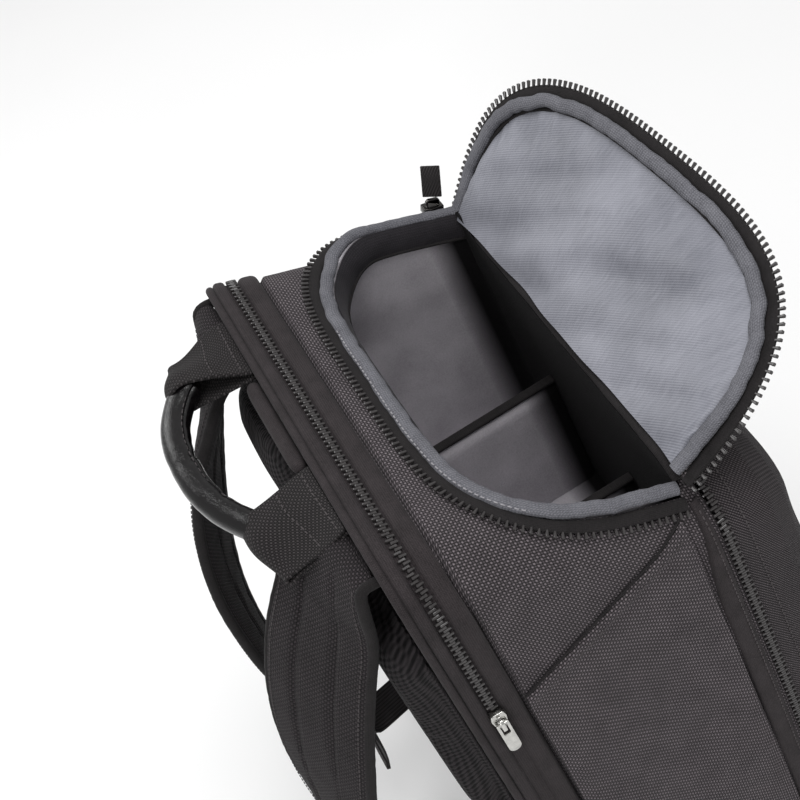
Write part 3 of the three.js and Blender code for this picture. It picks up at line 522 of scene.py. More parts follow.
def basket(uv, pitch):
    """Plain weave of threads: where the warp lies on top, and the crown of each crossing"""
    u, v, _ = uv.axes()
    across = u.wave(2 * pitch)
    along = v.wave(2 * pitch)
    warp_on_top = (across * along) > 0
    return warp_on_top, abs(across * along)


def weave_finish(name, dark, light, pitch, depth, weft=0.34):
    """Coarse ballistic weave: the warp crossings catch the light, the weft lies darker"""

    def build(uv, place):
        warp_on_top, crown = basket(uv, pitch)
        fibres = place.clouds(1500, 2, 0.6)
        clouds = place.clouds(60, 3)
        lit = crown**0.8 * (weft + warp_on_top * (1 - weft))
        shade = (lit * (0.55 + clouds * 0.7) + (fibres - 0.5) * 0.25 + 0.02).limit()
        return {"shade": shade, "height": (crown**0.45 * (0.6 + warp_on_top * 0.4), depth)}

    return finish_of(name, build, dark, light, **CLOTH)


def rib_finish(name, dark, light, pitch, depth):
    """Diagonal rib with a finer thread across it"""

    def build(uv, place):
        u, v, _ = uv.axes()
        rib = (u + v * 0.9).wave(pitch) * 0.5 + 0.5
        thread = (v - u).wave(pitch * 0.7) * 0.5 + 0.5
        fibres = place.clouds(1500, 2, 0.6)
        clouds = place.clouds(50, 3)
        height = rib * (0.4 + thread * 0.6)
        shade = (height**1.6 * (0.6 + clouds * 0.6) + (fibres - 0.5) * 0.25 + 0.03).limit()
        return {"shade": shade, "height": (height, depth)}

    return finish_of(name, build, dark, light, **CLOTH)


def tape_finish(name, dark, light, pitch=0.0009, depth=0.00012, **constants):
    """Closely woven tape with fine ribs along it"""

    def build(uv, place):
        u, v, _ = uv.axes()
        rib = u.wave(pitch) * 0.5 + 0.5
        knit = v.wave(pitch * 1.3) * 0.5 + 0.5
        fibres = place.clouds(1100, 3, 0.65)
        clouds = place.clouds(90, 4)
        shade = (rib * knit * 0.35 + clouds * 0.4 + fibres * 0.8 - 0.32).limit()
        return {"shade": shade, "height": (rib * 0.4 + knit * 0.3 + fibres * 0.6, depth)}

    return finish_of(name, build, dark, light, **{**CLOTH, **constants})


def webbing_finish(name, dark, light, pitch=0.0022, depth=0.00035):
    """Webbing: ribs along it, crossed by tight picks"""

    def build(uv, place):
        u, v, _ = uv.axes()
        rib = abs(u.wave(2 * pitch))
        pick_row = (v + abs(u.wave(4 * pitch)) * 0.0006).wave(0.0013) * 0.5 + 0.5
        clouds = place.clouds(70, 3)
        height = rib * (0.5 + pick_row * 0.5)
        shade = (height * 0.75 + clouds * 0.45 - 0.14).limit()
        return {"shade": shade, "height": (height, depth)}

    return finish_of(name, build, dark, light, **CLOTH)


def mesh_finish(name, dark, light, pitch=0.0032, depth=0.0009):
    """Spacer mesh: a net of threads round dark holes"""

    def build(uv, place):
        u, v, _ = uv.axes()
        holes = (u.wave(pitch) + v.wave(pitch)) * 0.25 + 0.5
        net = (holes * 1.6 - 0.25).limit()
        clouds = place.clouds(70, 2)
        shade = (net * 0.8 + clouds * 0.3 - 0.14).limit()
        return {"shade": shade, "height": (net, depth)}

    return finish_of(name, build, dark, light, **CLOTH)


def lining_finish(name, dark, light):
    """Satin nylon: a fine twill, with streaks and patches where it catches the light"""

    def build(uv, place):
        u, v, _ = uv.axes()
        twill = (u * 0.6 + v).wave(0.0016) * 0.5 + 0.5
        drawn = uv.node("VectorMath", {"operation": "MULTIPLY"}, {0: uv, 1: (1.0, 0.14, 1.0)})
        streaks = drawn.clouds(700, 2)
        clouds = place.clouds(22, 3)
        shade = (twill * 0.13 + streaks * 0.3 + clouds * 0.85 - 0.14).limit()
        return {
            "shade": shade,
            "Roughness": clouds * 0.2 + 0.38,
            "height": (twill * 0.6 + streaks * 0.4, 0.00014),
        }

    return finish_of(name, build, dark, light, Specular_IOR_Level=0.4, Sheen_Weight=0.08)


def brushed_finish(name, dark, light):
    """Brushed nylon, with painted shade that turns it near black towards the hinge"""

    def build(uv, place):
        fuzz = place.clouds(900, 3, 0.7)
        clouds = place.clouds(35, 3)
        _, deep, _ = place.axes()
        # Painted shade: by depth, the colour is mixed towards near black on the hinge side
        hinge_shade = (deep * -60 - 2.1).limit()
        shade = ((fuzz * 0.5 + clouds * 0.6 - 0.1) * (1 - hinge_shade * 0.9)).limit()
        soft = shade.tint(linear(*dark), linear(*light))
        sockets = {0: hinge_shade, 6: soft, 7: (*linear(18, 17, 18), 1)}
        masked = hinge_shade.node("Mix", {"data_type": "RGBA"}, sockets, out=2)
        return {"Base_Color": masked, "height": (fuzz, 0.0003)}

    return finish_of(name, build, Roughness=0.95, Sheen_Weight=0.02, Specular_IOR_Level=0.05)


def leather_finish(name, dark, light):
    """Glossy black leather with a fine grain"""

    def build(uv, place):
        cells = {"Vector": place, "Scale": 1100.0}
        pores = place.node("TexVoronoi", {"feature": "DISTANCE_TO_EDGE"}, cells)
        clouds = place.clouds(160, 2)
        height = (pores * 4).limit() * 0.3 + clouds * 0.7
        return {"shade": clouds, "Roughness": clouds * 0.12 + 0.06, "height": (height, 0.00016)}

    return finish_of(name, build, dark, light, Specular_IOR_Level=0.42)


def plastic_finish(name, dark, light, rough=0.38):
    """Moulded plastic with a faint grain"""

    def build(uv, place):
        clouds = place.clouds(300, 3)
        return {"shade": clouds, "Roughness": clouds * 0.2 + (rough - 0.1), "height": (clouds, 0.00005)}

    return finish_of(name, build, dark, light)


def metal_finish(name, dark, light):
    """Polished metal, a little dulled in patches"""

    def build(uv, place):
        clouds = place.clouds(260, 4)
        return {"shade": clouds, "Roughness": clouds * 0.22 + 0.12, "height": (clouds, 0.00004)}

    return finish_of(name, build, dark, light, Metallic=1.0)


WEAVE = weave_finish("ballistic_weave", (12, 11, 11), (123, 115, 119), 0.0016, 0.0008)
STRAP_WEAVE = weave_finish("strap_weave", (7, 6, 6), (66, 60, 63), 0.0016, 0.0007)
TAB_WEAVE = weave_finish("tab_weave", (9, 8, 8), (68, 64, 65), 0.0014, 0.0005)
RIB = rib_finish("pocket_rib", (18, 16, 17), (104, 97, 100), 0.0024, 0.0006)
TAPE = tape_finish("zip_tape", (16, 14, 14), (69, 63, 65))
# Dark tape for bindings and zip tapes, also laid as strips of painted shadow in seams and grooves
DARK_TAPE_AND_SHADOW = tape_finish("dark_tape_and_shadow_strips", (12, 11, 11), (48, 45, 46))
COLLAR_SATIN = tape_finish("collar_satin", (26, 25, 27), (66, 63, 67), 0.0014, 0.0001, Roughness=0.5)
MESH = mesh_finish("spacer_mesh", (8, 7, 8), (50, 46, 48))
WEBBING = webbing_finish("woven_webbing", (18, 17, 17), (62, 58, 59))
LEATHER = leather_finish("grip_leather", (5, 4, 5), (15, 13, 14))
LINING = lining_finish("lid_satin", (60, 62, 71), (151, 152, 161))
BINDING = tape_finish("rolled_binding", (56, 56, 61), (132, 132, 138), 0.0013, 0.0003)
BRUSHED = brushed_finish("brushed_nylon", (128, 124, 129), (214, 210, 216))
THREAD = tape_finish("sewing_thread", (44, 41, 42), (96, 91, 92), 0.0006)
PALE_THREAD = tape_finish("pale_sewing_thread", (110, 108, 112), (176, 174, 178), 0.0006)
TEETH = plastic_finish("moulded_teeth", (26, 24, 24), (62, 59, 59), 0.3)
PLASTIC = plastic_finish("moulded_plastic", (20, 19, 19), (38, 36, 36))
METAL = metal_finish("polished_metal", (150, 150, 148), (214, 213, 208))
DARK_METAL = metal_finish("blackened_metal", (46, 45, 44), (84, 82, 80))


# Body surfaces


def top_at(y):
    return HEIGHT - (BACK_Y - y) * SLOPE


def half_at(y):
    return lerp(WIDTH, FRONT_WIDTH, (BACK_Y - y) / BODY_DEPTH) / 2


def swell_at(y, z):
    return SIDE_SWELL * math.sin(math.pi * clamp(z / (top_at(y) - TOP_RADIUS)))


def corner_drop(x, y):
    past = clamp(abs(x) - (half_at(y) - TOP_RADIUS), 0, TOP_RADIUS * 0.98)
    return TOP_RADIUS - math.sqrt(TOP_RADIUS**2 - past**2)


def skin_top(x, y):
    return top_at(y) - corner_drop(x, y)


def arch_lengths(y, low, inset=0.0):
    """Lengths of the stretches over the body: side, corner, top, corner, side"""
    side = top_at(y) - TOP_RADIUS - low
    corner = math.pi * (TOP_RADIUS - inset) / 2
    return [side, corner, 2 * (half_at(y) - TOP_RADIUS), corner, side]


def arch_spot(y, share, low, inset=0.0):
    """A place (x, z) and outward normal over the body, from the near side up and down the far one"""
    lengths = arch_lengths(y, low, inset)
    left = share * sum(lengths)
    radius = TOP_RADIUS - inset
    half = half_at(y) - inset
    top = top_at(y) - inset
    flip = left > sum(lengths) / 2
    if flip:
        left = sum(lengths) - left
    side, corner, _ = lengths[:3]
    if left < side:
        z = low + left
        spot = (-half - swell_at(y, z), z, -1.0, 0.0)
    elif left < side + corner:
        angle = math.pi - (left - side) / radius
        nx, nz = math.cos(angle), math.sin(angle)
        z = top - radius + radius * nz
        spot = (-half + radius + radius * nx + nx * swell_at(y, z), z, nx, nz)
    else:
        spot = (-half + radius + left - side - corner, top, 0.0, 1.0)
    x, z, nx, nz = spot
    return (-x, z, -nx, nz) if flip else spot


def loop_spot(y, share, inset=0.0):
    """A place (x, z) and normal round the whole outline: over the body, then back under it"""
    low = FLOOR_Z + inset
    radius = BASE_RADIUS - inset / 2
    half = half_at(y) - inset
    over = sum(arch_lengths(y, low + radius, inset))
    bend = math.pi * radius / 2
    bottom = 2 * (half - radius)
    left = share * (over + 2 * bend + bottom)
    if left <= over:
        return arch_spot(y, left / over, low + radius, inset)
    left -= over
    if left <= bend:
        angle = -left / radius
        nx, nz = math.cos(angle), math.sin(angle)
        return (half - radius + radius * nx, low + radius + radius * nz, nx, nz)
    left -= bend
    if left <= bottom:
        return (half - radius - left, low, 0.0, -1.0)
    angle = -math.pi / 2 - (left - bottom) / radius
    nx, nz = math.cos(angle), math.sin(angle)
    return (-half + radius + radius * nx, low + radius + radius * nz, nx, nz)


def skin_normal(nx, nz):
    return Vector((nx, -max(nz, 0) * SLOPE, nz)).normalized()


def hatch_points(grow=0.0, steps=160):
    """The hatch's outline in plan, from the near hinge end round the back to the far one"""
    made = []
    for k in range(steps + 1):
        angle = math.pi * (1 - k / steps)
        bend = 2 / HATCH_POWER
        across = math.copysign(abs(math.cos(angle)) ** bend, math.cos(angle))
        along = (HATCH_LENGTH + grow) * abs(math.sin(angle)) ** bend
        made.append(((HATCH_HALF + grow) * across, HATCH_HINGE_Y + along))
    return made


def rim_rise(x, y):
    sideways = smooth(2.4 * TOP_RADIUS, 3.1 * TOP_RADIUS, x)
    forwards = smooth(HATCH_HINGE_Y + HATCH_LENGTH, HATCH_HINGE_Y + 0.55 * HATCH_LENGTH, y)
    return RIM_RISE * sideways * forwards


def rim_normal(x, y):
    """The body's normal under the rim, half straightened"""
    step = 0.001
    fall = (skin_top(x + step, y) - skin_top(x - step, y)) / (2 * step)
    return Vector((-fall * 0.5, -SLOPE, 1)).normalized()


def hatch_route(grow, lift, wander=0.0):
    """The opening's outline on the body. Its across points inwards; wander waves it in and out."""
    spots, normals = [], []
    for x, y in hatch_points(grow):
        away = Vector((x, y - HATCH_HINGE_Y, 0)).normalized()
        sway = wander * ripple((x, y, 0), 0.011, 5.5)
        x, y = x + away.x * sway, y + away.y * sway
        spots.append(Vector((x, y, skin_top(x, y) + lift + rim_rise(x, y))))
        normals.append(rim_normal(x, y))
    return Route(spots, normals)


def hatch_prism():
    """Closed cutter in the shape of the opening"""
    points = hatch_points(0.0)
    deselect()
    bpy.ops.mesh.primitive_circle_add(vertices=len(points), fill_type="NGON", radius=1)
    piece = bpy.context.object
    for vertex, (x, y) in zip(piece.data.vertices, points):
        vertex.co = (x, y, top_at(HATCH_HINGE_Y) - TOP_RADIUS)
    up = {"TRANSFORM_OT_translate": {"value": (0, 0, 0.16)}}
    edit(piece, (bpy.ops.mesh.extrude_region_move, up))
    face_out(piece)
    return piece


def body_cloth():
    """The body's cloth all round, padded, turned in at its seams, the hatch cut out of its top"""

    def place(u, v):
        y = lerp(FRONT_Y + 0.0003, BAND_FRONT_Y - 0.0003, (1 - math.cos(math.pi * v)) / 2)
        x, z, nx, nz = loop_spot(y, u)
        edge = min(y - FRONT_Y, BAND_FRONT_Y - y)
        soft = ripple((x, y, z), 0.075, 3.1) * 0.0018 + ripple((x, y, z), 0.03, 9.4) * 0.0007
        calm = smooth(0.02, 0.08, z) * smooth(0, 0.02, edge)
        turn = 0.0032 * (1 - smooth(0.0003, 0.004, edge)) ** 2
        return Vector((x, y, z)) + skin_normal(nx, nz) * (soft * calm - turn - 0.0002)

    piece = surface("body_cloth", 240, 44, place)
    close(piece, ends=False)
    thicken(piece, SHELL_WALL)
    cutter = hatch_prism()
    apply(piece, "BOOLEAN", object=cutter, operation="DIFFERENCE", solver="EXACT")
    bpy.data.objects.remove(cutter)
    smooth_shade(piece, 40)
    place_piece(piece, "main_shell", "weave", WEAVE)


def band_height(distance):
    """Cross profile of the zip band: a padded flap either side of the chain, grooves at its seams"""
    chain = CHAIN_Y - BAND_FRONT_Y
    for low, high in ((0.0005, chain - 0.0034), (chain + 0.0034, BAND_WIDTH - 0.0004)):
        if low < distance < high:
            middle = abs(2 * (distance - low) / (high - low) - 1)
            return -0.0020 + 0.0040 * (1 - middle**3.4) ** 0.55
    return -0.0006 if abs(distance - chain) < 0.005 else -0.0028


def zip_band():
    """The band's two flaps and grooves, swept round the whole outline"""

    def place(u, v):
        y = lerp(BAND_FRONT_Y, BACK_Y, v)
        x, z, nx, nz = loop_spot(y, u)
        soft = ripple((x, y * 0.3, z), 0.05, 5.0) * 0.0005
        height = band_height(v * BAND_WIDTH) + soft * smooth(0.02, 0.08, z)
        return Vector((x, y, z)) + skin_normal(nx, nz) * height

    piece = surface("zip_band_tape", 260, 66, place)
    close(piece, ends=False)
    thicken(piece, BAND_CLOTH)
    smooth_shade(piece)
    place_piece(piece, "zip_band", "tape", TAPE)


def arch_route(y, low, out):
    """Over the body at one depth, from a height on the near side to the same on the far one"""
    spots, normals = [], []
    for k in range(321):
        x, z, nx, nz = arch_spot(y, k / 320, low)
        normals.append(skin_normal(nx, nz))
        spots.append(Vector((x, y, z)) + normals[-1] * out)
    return Route(spots, normals)


def tooth_master(reach=0.0044, width=0.0019, height=0.0021):
    """One moulded tooth along X: a square head, and a narrower neck towards its tape"""
    deselect()
    bpy.ops.mesh.primitive_cube_add(size=1)
    piece = bpy.context.object
    piece.name = "tooth"
    edit(piece, (bpy.ops.transform.resize, {"value": (reach, width, height)}))
    apply(piece, "BEVEL", width=0.0004, segments=1, limit_method="NONE")
    for vertex in piece.data.vertices:
        if vertex.co.x < 0:
            vertex.co.y *= 0.62
            vertex.co.z *= 0.85
    return piece


def chain(name, route, node, open_side=False):
    """Moulded teeth along a route: from both its tapes in turn, or outwards from the one that is left"""
    count = int(route.length / TOOTH_PITCH)
    places = []
    for k in range(count):
        for side in (-1,) if open_side else (-1, 1):
            spot, across, normal = route.frame((k + 0.5 + (side > 0) * 0.5) / (count + 0.5))
            across = across * side
            reach = 0.0012 if open_side else -0.0009
            places.append(matrix_of(spot + across * reach, across, normal.cross(across), normal))
    piece = copies(name, tooth_master(), places)
    smooth_shade(piece, 30)
    return place_piece(piece, node, "plastic", TEETH)


def zip_chains():
    chain("laptop_zip_teeth", arch_route(CHAIN_Y, ZIP_END_Z + 0.013, 0.0010), "laptop_zip_chain")
    chain("front_zip_teeth", arch_route(FRONT_Y, FRONT_SLIDER_Z + 0.0068, 0.0012), "front_zip_chain")


def side_spot(side, y, z, out=0.0):
    up = clamp(z - (top_at(y) - TOP_RADIUS), 0, TOP_RADIUS * 0.98)
    level = math.sqrt(TOP_RADIUS**2 - up**2)
    normal = Vector((side * level / TOP_RADIUS, 0, up / TOP_RADIUS))
    x = side * (half_at(y) - TOP_RADIUS + level + swell_at(y, z))
    return Vector((x, y, z)) + normal * out


def side_panel(word, side):
    """Cloth panel sewn on below a slanting seam, its edge turned, puckered and topstitched, with a dark
    strip of painted shadow along the seam
    """
    front = FRONT_Y + 0.0195
    back = BAND_FRONT_Y - 0.002

    def spot_at(u, below, out):
        y = lerp(front, back, u)
        z = lerp(SEAM_FRONT_Z, SEAM_BACK_Z, u) - below
        return side_spot(side, y, z, out)

    def place(u, v):
        y = lerp(front, back, u)
        seam = lerp(SEAM_FRONT_Z, SEAM_BACK_Z, u)
        below = (seam - SIDE_PANEL_BASE_Z) * (1 - v) ** 1.6
        z = seam - below
        pucker = ripple((y, 0, 0), 0.006, 4.4) * 0.0007 * math.exp(-below / 0.012)
        hem = 0.0002 + 0.0028 * smooth(0.0, 0.0018, below) - 0.0014 * smooth(0.004, 0.012, below)
        soft = ripple((side, y * 1.2, z), 0.08, 2.0) * 0.0024
        soft += ripple((side, y, z), 0.028, 7.0) * 0.0008
        rim = smooth(0, 0.08, u) * smooth(1, 0.92, u) * smooth(0, 0.06, v) * smooth(0.006, 0.03, below)
        return side_spot(side, y, z, 0.0008 + hem + pucker + (soft + 0.0006) * rim)

    piece = surface(f"side_cloth_{word}", 70, 150, place)
    close(piece, ends=False)
    thicken(piece, SIDE_CLOTH, side)
    smooth_shade(piece)
    place_piece(piece, f"side_panel_{word}", "weave", WEAVE)
    spots = [spot_at(lerp(0.03, 0.97, k / 80), 0.0062, 0.0037) for k in range(81)]
    row = Route(spots, [Vector((side, 0, 0.2)).normalized()] * 81)
    stitches(f"side_seam_stitches_{word}", row, THREAD)
    # A dark strip laid along the seam as painted shadow of the turned edge
    line = [spot_at(k / 80, -0.0007, 0.0014) for k in range(81)]
    crease = Route(line, [Vector((side, 0, 0.1)).normalized()] * 81)
    edging(f"side_seam_shadow_strip_{word}", crease, 0.0016, 0.0014, DARK_TAPE_AND_SHADOW)


def front_flap(word, side):
    """Smooth padded flap beside the front zip, topstitched along its free edge"""
    front = FRONT_Y + FLAP_START
    back = front + FLAP_WIDTH
    high = top_at(front) - TOP_RADIUS * 0.32

    def place(u, v):
        y = lerp(front, lerp(back, front + FLAP_TIP_WIDTH, smooth(0.78, 1, v)), u)
        z = lerp(BASE_RADIUS + FLOOR_Z, high, v)
        crown = (1 - abs(2 * u - 1) ** 3.4) ** 0.55
        soft = ripple((y * 0.3, 0, z), 0.03, 6.0) * 0.0004
        return side_spot(side, y, z, -0.0006 + (0.0034 + soft) * crown)

    piece = surface(f"front_flap_{word}", 26, 120, place)
    close(piece, ends=False)
    thicken(piece, FLAP_CLOTH, side)
    smooth_shade(piece)
    place_piece(piece, f"front_zip_flap_{word}", "tape", TAPE)
    heights = [lerp(0.04, high - 0.004, k / 80) for k in range(81)]
    spots = [side_spot(side, front + 0.003, z, 0.0030) for z in heights]
    row = Route(spots, [Vector((side, -0.3, 0)).normalized()] * 81)
    stitches(f"front_flap_stitches_{word}", row, THREAD)


# How far forwards and inwards the pocket's sheet is at even steps, as shares of its depth and rounding
POCKET_ROWS = [
    (0.0, 0.0),
    (0.3, 0.02),
    (0.6, 0.12),
    (0.82, 0.36),
    (0.95, 0.75),
    (1.0, 1.25),
    (1.04, 2.4),
]


def front_pocket():
    """The padded front, rounded over to its flat face"""

    def place(u, v):
        at = clamp(v / POCKET_FACE_SHARE) * (len(POCKET_ROWS) - 1)
        i = min(int(at), len(POCKET_ROWS) - 2)
        out, inwards = (lerp(a, b, at - i) for a, b in zip(POCKET_ROWS[i], POCKET_ROWS[i + 1]))
        shrink = smooth(POCKET_FACE_SHARE, 1.0, v)
        y = FRONT_Y - 0.0003 - POCKET_DEPTH * out
        x, z, nx, nz = loop_spot(y, u, inwards * POCKET_ROUND)
        lean = POCKET_LEAN * math.sin(math.pi * clamp(z / top_at(FRONT_Y)) ** 0.8)
        middle = top_at(y) / 2
        x, z = lerp(x, 0, shrink), lerp(z, middle, shrink)
        dome = 0.004 * shrink
        soft = ripple((x, 0, z), 0.07, 4.2) * 0.0018 + ripple((x, 0, z), 0.03, 1.2) * 0.0006
        return Vector((x, y - lean * out - dome + soft * smooth(0.1, 0.5, v), z))

    piece = surface("front_pocket_cloth", 200, 70, place)
    close(piece)
    smooth_shade(piece)
    place_piece(piece, "front_pocket", "rib", RIB)
    points, normals = [], []
    for k in range(241):
        _, _, nx, nz = loop_spot(FRONT_Y, k / 240)
        normals.append(Vector((nx, 0, nz)))
        points.append(place(k / 240, 0.1) + normals[-1] * 0.0004)
    stitches("front_pocket_stitches", Route(points, normals), THREAD, slot="rib")


def rim_parts():
    """Zip tape, rolled binding and teeth round the opening"""
    tape = hatch_route(0.0034, 0.0014)
    edging("hatch_rim_tape", tape, 0.0072, 0.0022, DARK_TAPE_AND_SHADOW, node="hatch_rim_zip", power=3)
    chain("hatch_rim_teeth", hatch_route(0.0062, 0.0026), None, open_side=True)
    binding = hatch_route(-0.0030, 0.0022, wander=0.0011)
    edging(
        "hatch_rolled_binding", binding, BINDING_WIDTH, 0.0058, BINDING,
        slot="lining", node="hatch_binding", power=2.3, pucker=0.14,
    )
    near = hatch_route(-0.0004, 0.0046).shifted(high=0.62)
    stitches("hatch_binding_stitches", near, PALE_THREAD, slot="lining")


def bay_collar():
    """Satin collar that hangs inside the opening, from under its binding"""
    mouth = hatch_route(-0.0062, 0.0)

    def place(u, v):
        spot, inwards, _ = mouth.frame(u)
        slack = ripple((u * mouth.length, v * 0.01, 0), 0.013, 2.2) * 0.0008 * v
        inset = 0.0006 + math.sin(math.pi * v) * 0.0016 + slack
        return spot + Vector((inwards.x, inwards.y, 0)) * inset - UP * COLLAR_DEPTH * v

    piece = surface("bay_satin_collar", 240, 14, place)
    thicken(piece, COLLAR_CLOTH, 0)
    face_out(piece)
    smooth_shade(piece)
    place_piece(piece, None, "lining", COLLAR_SATIN)
    hem = mouth.shifted(aside=0.0012)
    seam = Route([p - UP * COLLAR_DEPTH for p in map(Vector, hem.points)], hem.normals)
    edging("bay_collar_hem", seam, 0.0018, 0.0022, DARK_TAPE_AND_SHADOW)


def opening_loop(grow):
    """The opening as one closed loop: round the path and back along the hinge"""
    points = hatch_points(grow, 120)
    first, last = points[0], points[-1]
    front = [(lerp(last[0], first[0], k / 40), HATCH_HINGE_Y) for k in range(1, 41)]
    return Route([(x, y, 0) for x, y in points + front])


def bay_wall():
    """Padded wall and floor of the camera bay, as one pouch"""
    mouth = opening_loop(-0.0060)
    low_half = half_at(0) - 0.0165
    front = FRONT_Y + 0.0135
    back = BAND_FRONT_Y - 0.0137
    round_loop = []
    radius = BAY_CORNER
    for cx, cy, start in (
        (-low_half + radius, back - radius, 180),
        (low_half - radius, back - radius, 90),
        (low_half - radius, front + radius, 0),
        (-low_half + radius, front + radius, -90),
    ):
        for k in range(9):
            angle = math.radians(start - 90 * k / 8)
            round_loop.append((cx + radius * math.cos(angle), cy + radius * math.sin(angle), 0))
    middle = Vector((0, (front + back) / 2, 0))
    by_angle = sorted((math.atan2(y - middle.y, x), x, y) for x, y, _ in round_loop)
    turn = 2 * math.pi
    ring = [(t + k * turn, x, y) for k in (-1, 0, 1) for t, x, y in by_angle]
    angles, low_x, low_y = (np.array(column) for column in zip(*ring))

    def place(u, v):
        depth = clamp(v / 0.75)
        a = mouth.at(u)
        start = skin_top(a.x, a.y) + rim_rise(a.x, a.y) + 0.0005
        angle = math.atan2(a.y - middle.y, a.x)
        b = Vector((np.interp(angle, angles, low_x), np.interp(angle, angles, low_y), 0))
        spread = smooth(0.02, 0.45, depth)
        x, y = lerp(a.x, b.x, spread), lerp(a.y, b.y, spread)
        z = lerp(start, BAY_FLOOR_Z, depth)
        soft = ripple((x, y, z), 0.05, 6.0) * 0.0012 * smooth(0.1, 0.3, depth)
        shrink = smooth(0.75, 1, v)
        x, y = lerp(x * (1 - soft * 10), 0, shrink), lerp(y, (front + back) / 2, shrink)
        return Vector((x, y, z))

    piece = surface("bay_padding", 160, 60, place)
    close(piece, ends=False)
    thicken(piece, BAY_CLOTH, 1)
    smooth_shade(piece)
    place_piece(piece, "camera_bay", "brushed", BRUSHED)


def dividers():
    """Two padded walls across the bay, with a bound top edge"""
    for word in SIDES:
        low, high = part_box(f"bay_divider_{word}")
        middle = (low.x + high.x) / 2

        def place(u, v):
            angle = 2 * math.pi * u
            c, s = math.cos(angle), math.sin(angle)
            x = math.copysign(abs(c) ** 0.6, c) * (high.x - low.x) / 2
            y = math.copysign(abs(s) ** 0.12, s) * (high.y - low.y) / 2
            cap = 1 - smooth(0.9, 1, v) * 0.6
            return Vector((middle + x * cap, (low.y + high.y) / 2 + y, lerp(low.z, high.z, v)))

        piece = surface(f"bay_divider_pad_{word}", 48, 30, place)
        close(piece)
        smooth_shade(piece)
        place_piece(piece, f"bay_divider_{word}", "brushed", BRUSHED)
        spots = [(middle, lerp(low.y, high.y, k / 60), high.z - 0.0004) for k in range(61)]
        edge = Route(spots, [UP] * 61)
        edging(f"bay_divider_binding_{word}", edge, 0.0066, 0.003, DARK_TAPE_AND_SHADOW, power=3)


# Lid


def lid_place(x, along, out=0.0):
    """A place on the open lid, by its distance from the hinge and its height over the lid's plane"""
    slope = math.atan(SLOPE)
    angle = LID_ANGLE - LID_TWIST * x / LID_HALF
    lift = out - LID_CORNER_DROP * (abs(x) / LID_HALF) ** 4
    level = math.cos(angle) * along - math.sin(angle) * lift
    rise = math.sin(angle) * along + math.cos(angle) * lift
    y = HATCH_HINGE_Y - HINGE_FOLD_WIDTH / 2 + level * math.cos(slope) - rise * math.sin(slope)
    z = top_at(HATCH_HINGE_Y) + level * math.sin(slope) + rise * math.cos(slope)
    return Vector((x, y, z - corner_drop(x, HATCH_HINGE_Y) * 0.5 * (1 - along / LID_LENGTH)))


def lid_edge(share, margin):
    """A place in the lid's own plane, on its outline moved inwards by a margin"""
    angle = math.pi * (1 - share)
    c, s = math.cos(angle), max(math.sin(angle), 0.0)
    bend = 2 / LID_POWER
    x = math.copysign(abs(c) ** bend, c) * LID_HALF
    along = LID_LENGTH * s**bend
    nx = math.copysign(abs(c) ** (2 - bend), c) / LID_HALF
    nd = s ** (2 - bend) / LID_LENGTH
    size = math.hypot(nx, nd)
    return x - nx / size * margin, max(along - nd / size * margin, 0.003)


def lid_route(margin, out, wander=0.0):
    """Along the lid's edge from its near hinge end round to the far one"""
    spots, normals = [], []
    for k in range(281):
        share = (1 - math.cos(math.pi * k / 280)) / 2
        sway = wander * ripple((share * 0.4, 0, 0), 0.0115, 7.7)
        x, along = lid_edge(share, margin + sway)
        spots.append(lid_place(x, along, out))
        normals.append((lid_place(x, along, out + 0.001) - spots[-1]).normalized())
    return Route(spots, normals)


def lid_surface(name, margin, height_at, across=120, along=48):
    """A sheet over the lid inside a margin: height_at reads x, the distance from the hinge, the
    share from the hinge out to the edge, and the share round that edge"""

    def flat(u, v):
        share = (1 - math.cos(math.pi * u)) / 2
        x, reach = lid_edge(share, margin)
        return lerp((2 * share - 1) * (LID_HALF - margin), x, v), lerp(0.003, reach, v)

    def place(u, v):
        x, distance = flat(u, v)
        return lid_place(x, distance, height_at(x, distance, v, u))

    return surface(name, across, along, place, flat)


def lid_parts():
    """Outer cloth, satin lining, rolled binding, zip tape and teeth of the lid, and a dark strip of
    painted shadow between binding and lining
    """

    def crown(x, d, v, u):
        full = (1 - v**5) * smooth(0, 0.03, d) * smooth(0, 0.06, u) * smooth(1, 0.94, u)
        return LID_CLOTH + (LID_THICKNESS - LID_CLOTH + ripple((x, d, 0), 0.04, 8.0) * 0.0012) * full

    outer = lid_surface("lid_outer_cloth", -0.0005, crown)
    thicken(outer, LID_CLOTH)
    face_out(outer)
    smooth_shade(outer)
    place_piece(outer, "hatch_lid", "weave", WEAVE)

    def billow(x, d, v, u):
        edge = 1 - v**6
        aslant = (x * 0.55 + d, d * 0.25 - x * 0.25, 0)
        folds = ripple(aslant, 0.026, 12.0) * 0.0052 + ripple((x, d, 0), 0.07, 2.5) * 0.0050
        gathers = ripple((u * 0.42, v * 0.004, 0), 0.0085, 1.4) * 0.0016 * smooth(0.55, 0.98, v)
        return -0.0006 - (0.0044 + folds) * edge * smooth(0, 0.05, u) * smooth(1, 0.95, u) - gathers

    lining = lid_surface("lid_satin_lining", LINING_MARGIN, billow, 200, 90)
    thicken(lining, LINING_CLOTH, 1)
    face_out(lining)
    smooth_shade(lining)
    place_piece(lining, "lid_lining", "lining", LINING)

    binding = lid_route(0.0044, -0.0026, wander=0.0013)
    edging(
        "lid_rolled_binding", binding, 0.0084, 0.0060, BINDING,
        slot="lining", node="lid_binding", power=2.3, pucker=0.14,
    )
    # A dark strip in the groove between binding and lining: painted shadow
    inner = lid_route(0.0086, -0.0008)
    edging("lid_seam_shadow_tape", inner, 0.0022, 0.0014, DARK_TAPE_AND_SHADOW)
    tape = lid_route(-0.0012, 0.0008)
    edging("lid_zip_tape", tape, 0.0086, 0.0024, DARK_TAPE_AND_SHADOW, node="lid_zip", power=3)
    chain("lid_teeth", lid_route(-0.0056, 0.0004), None, open_side=True)


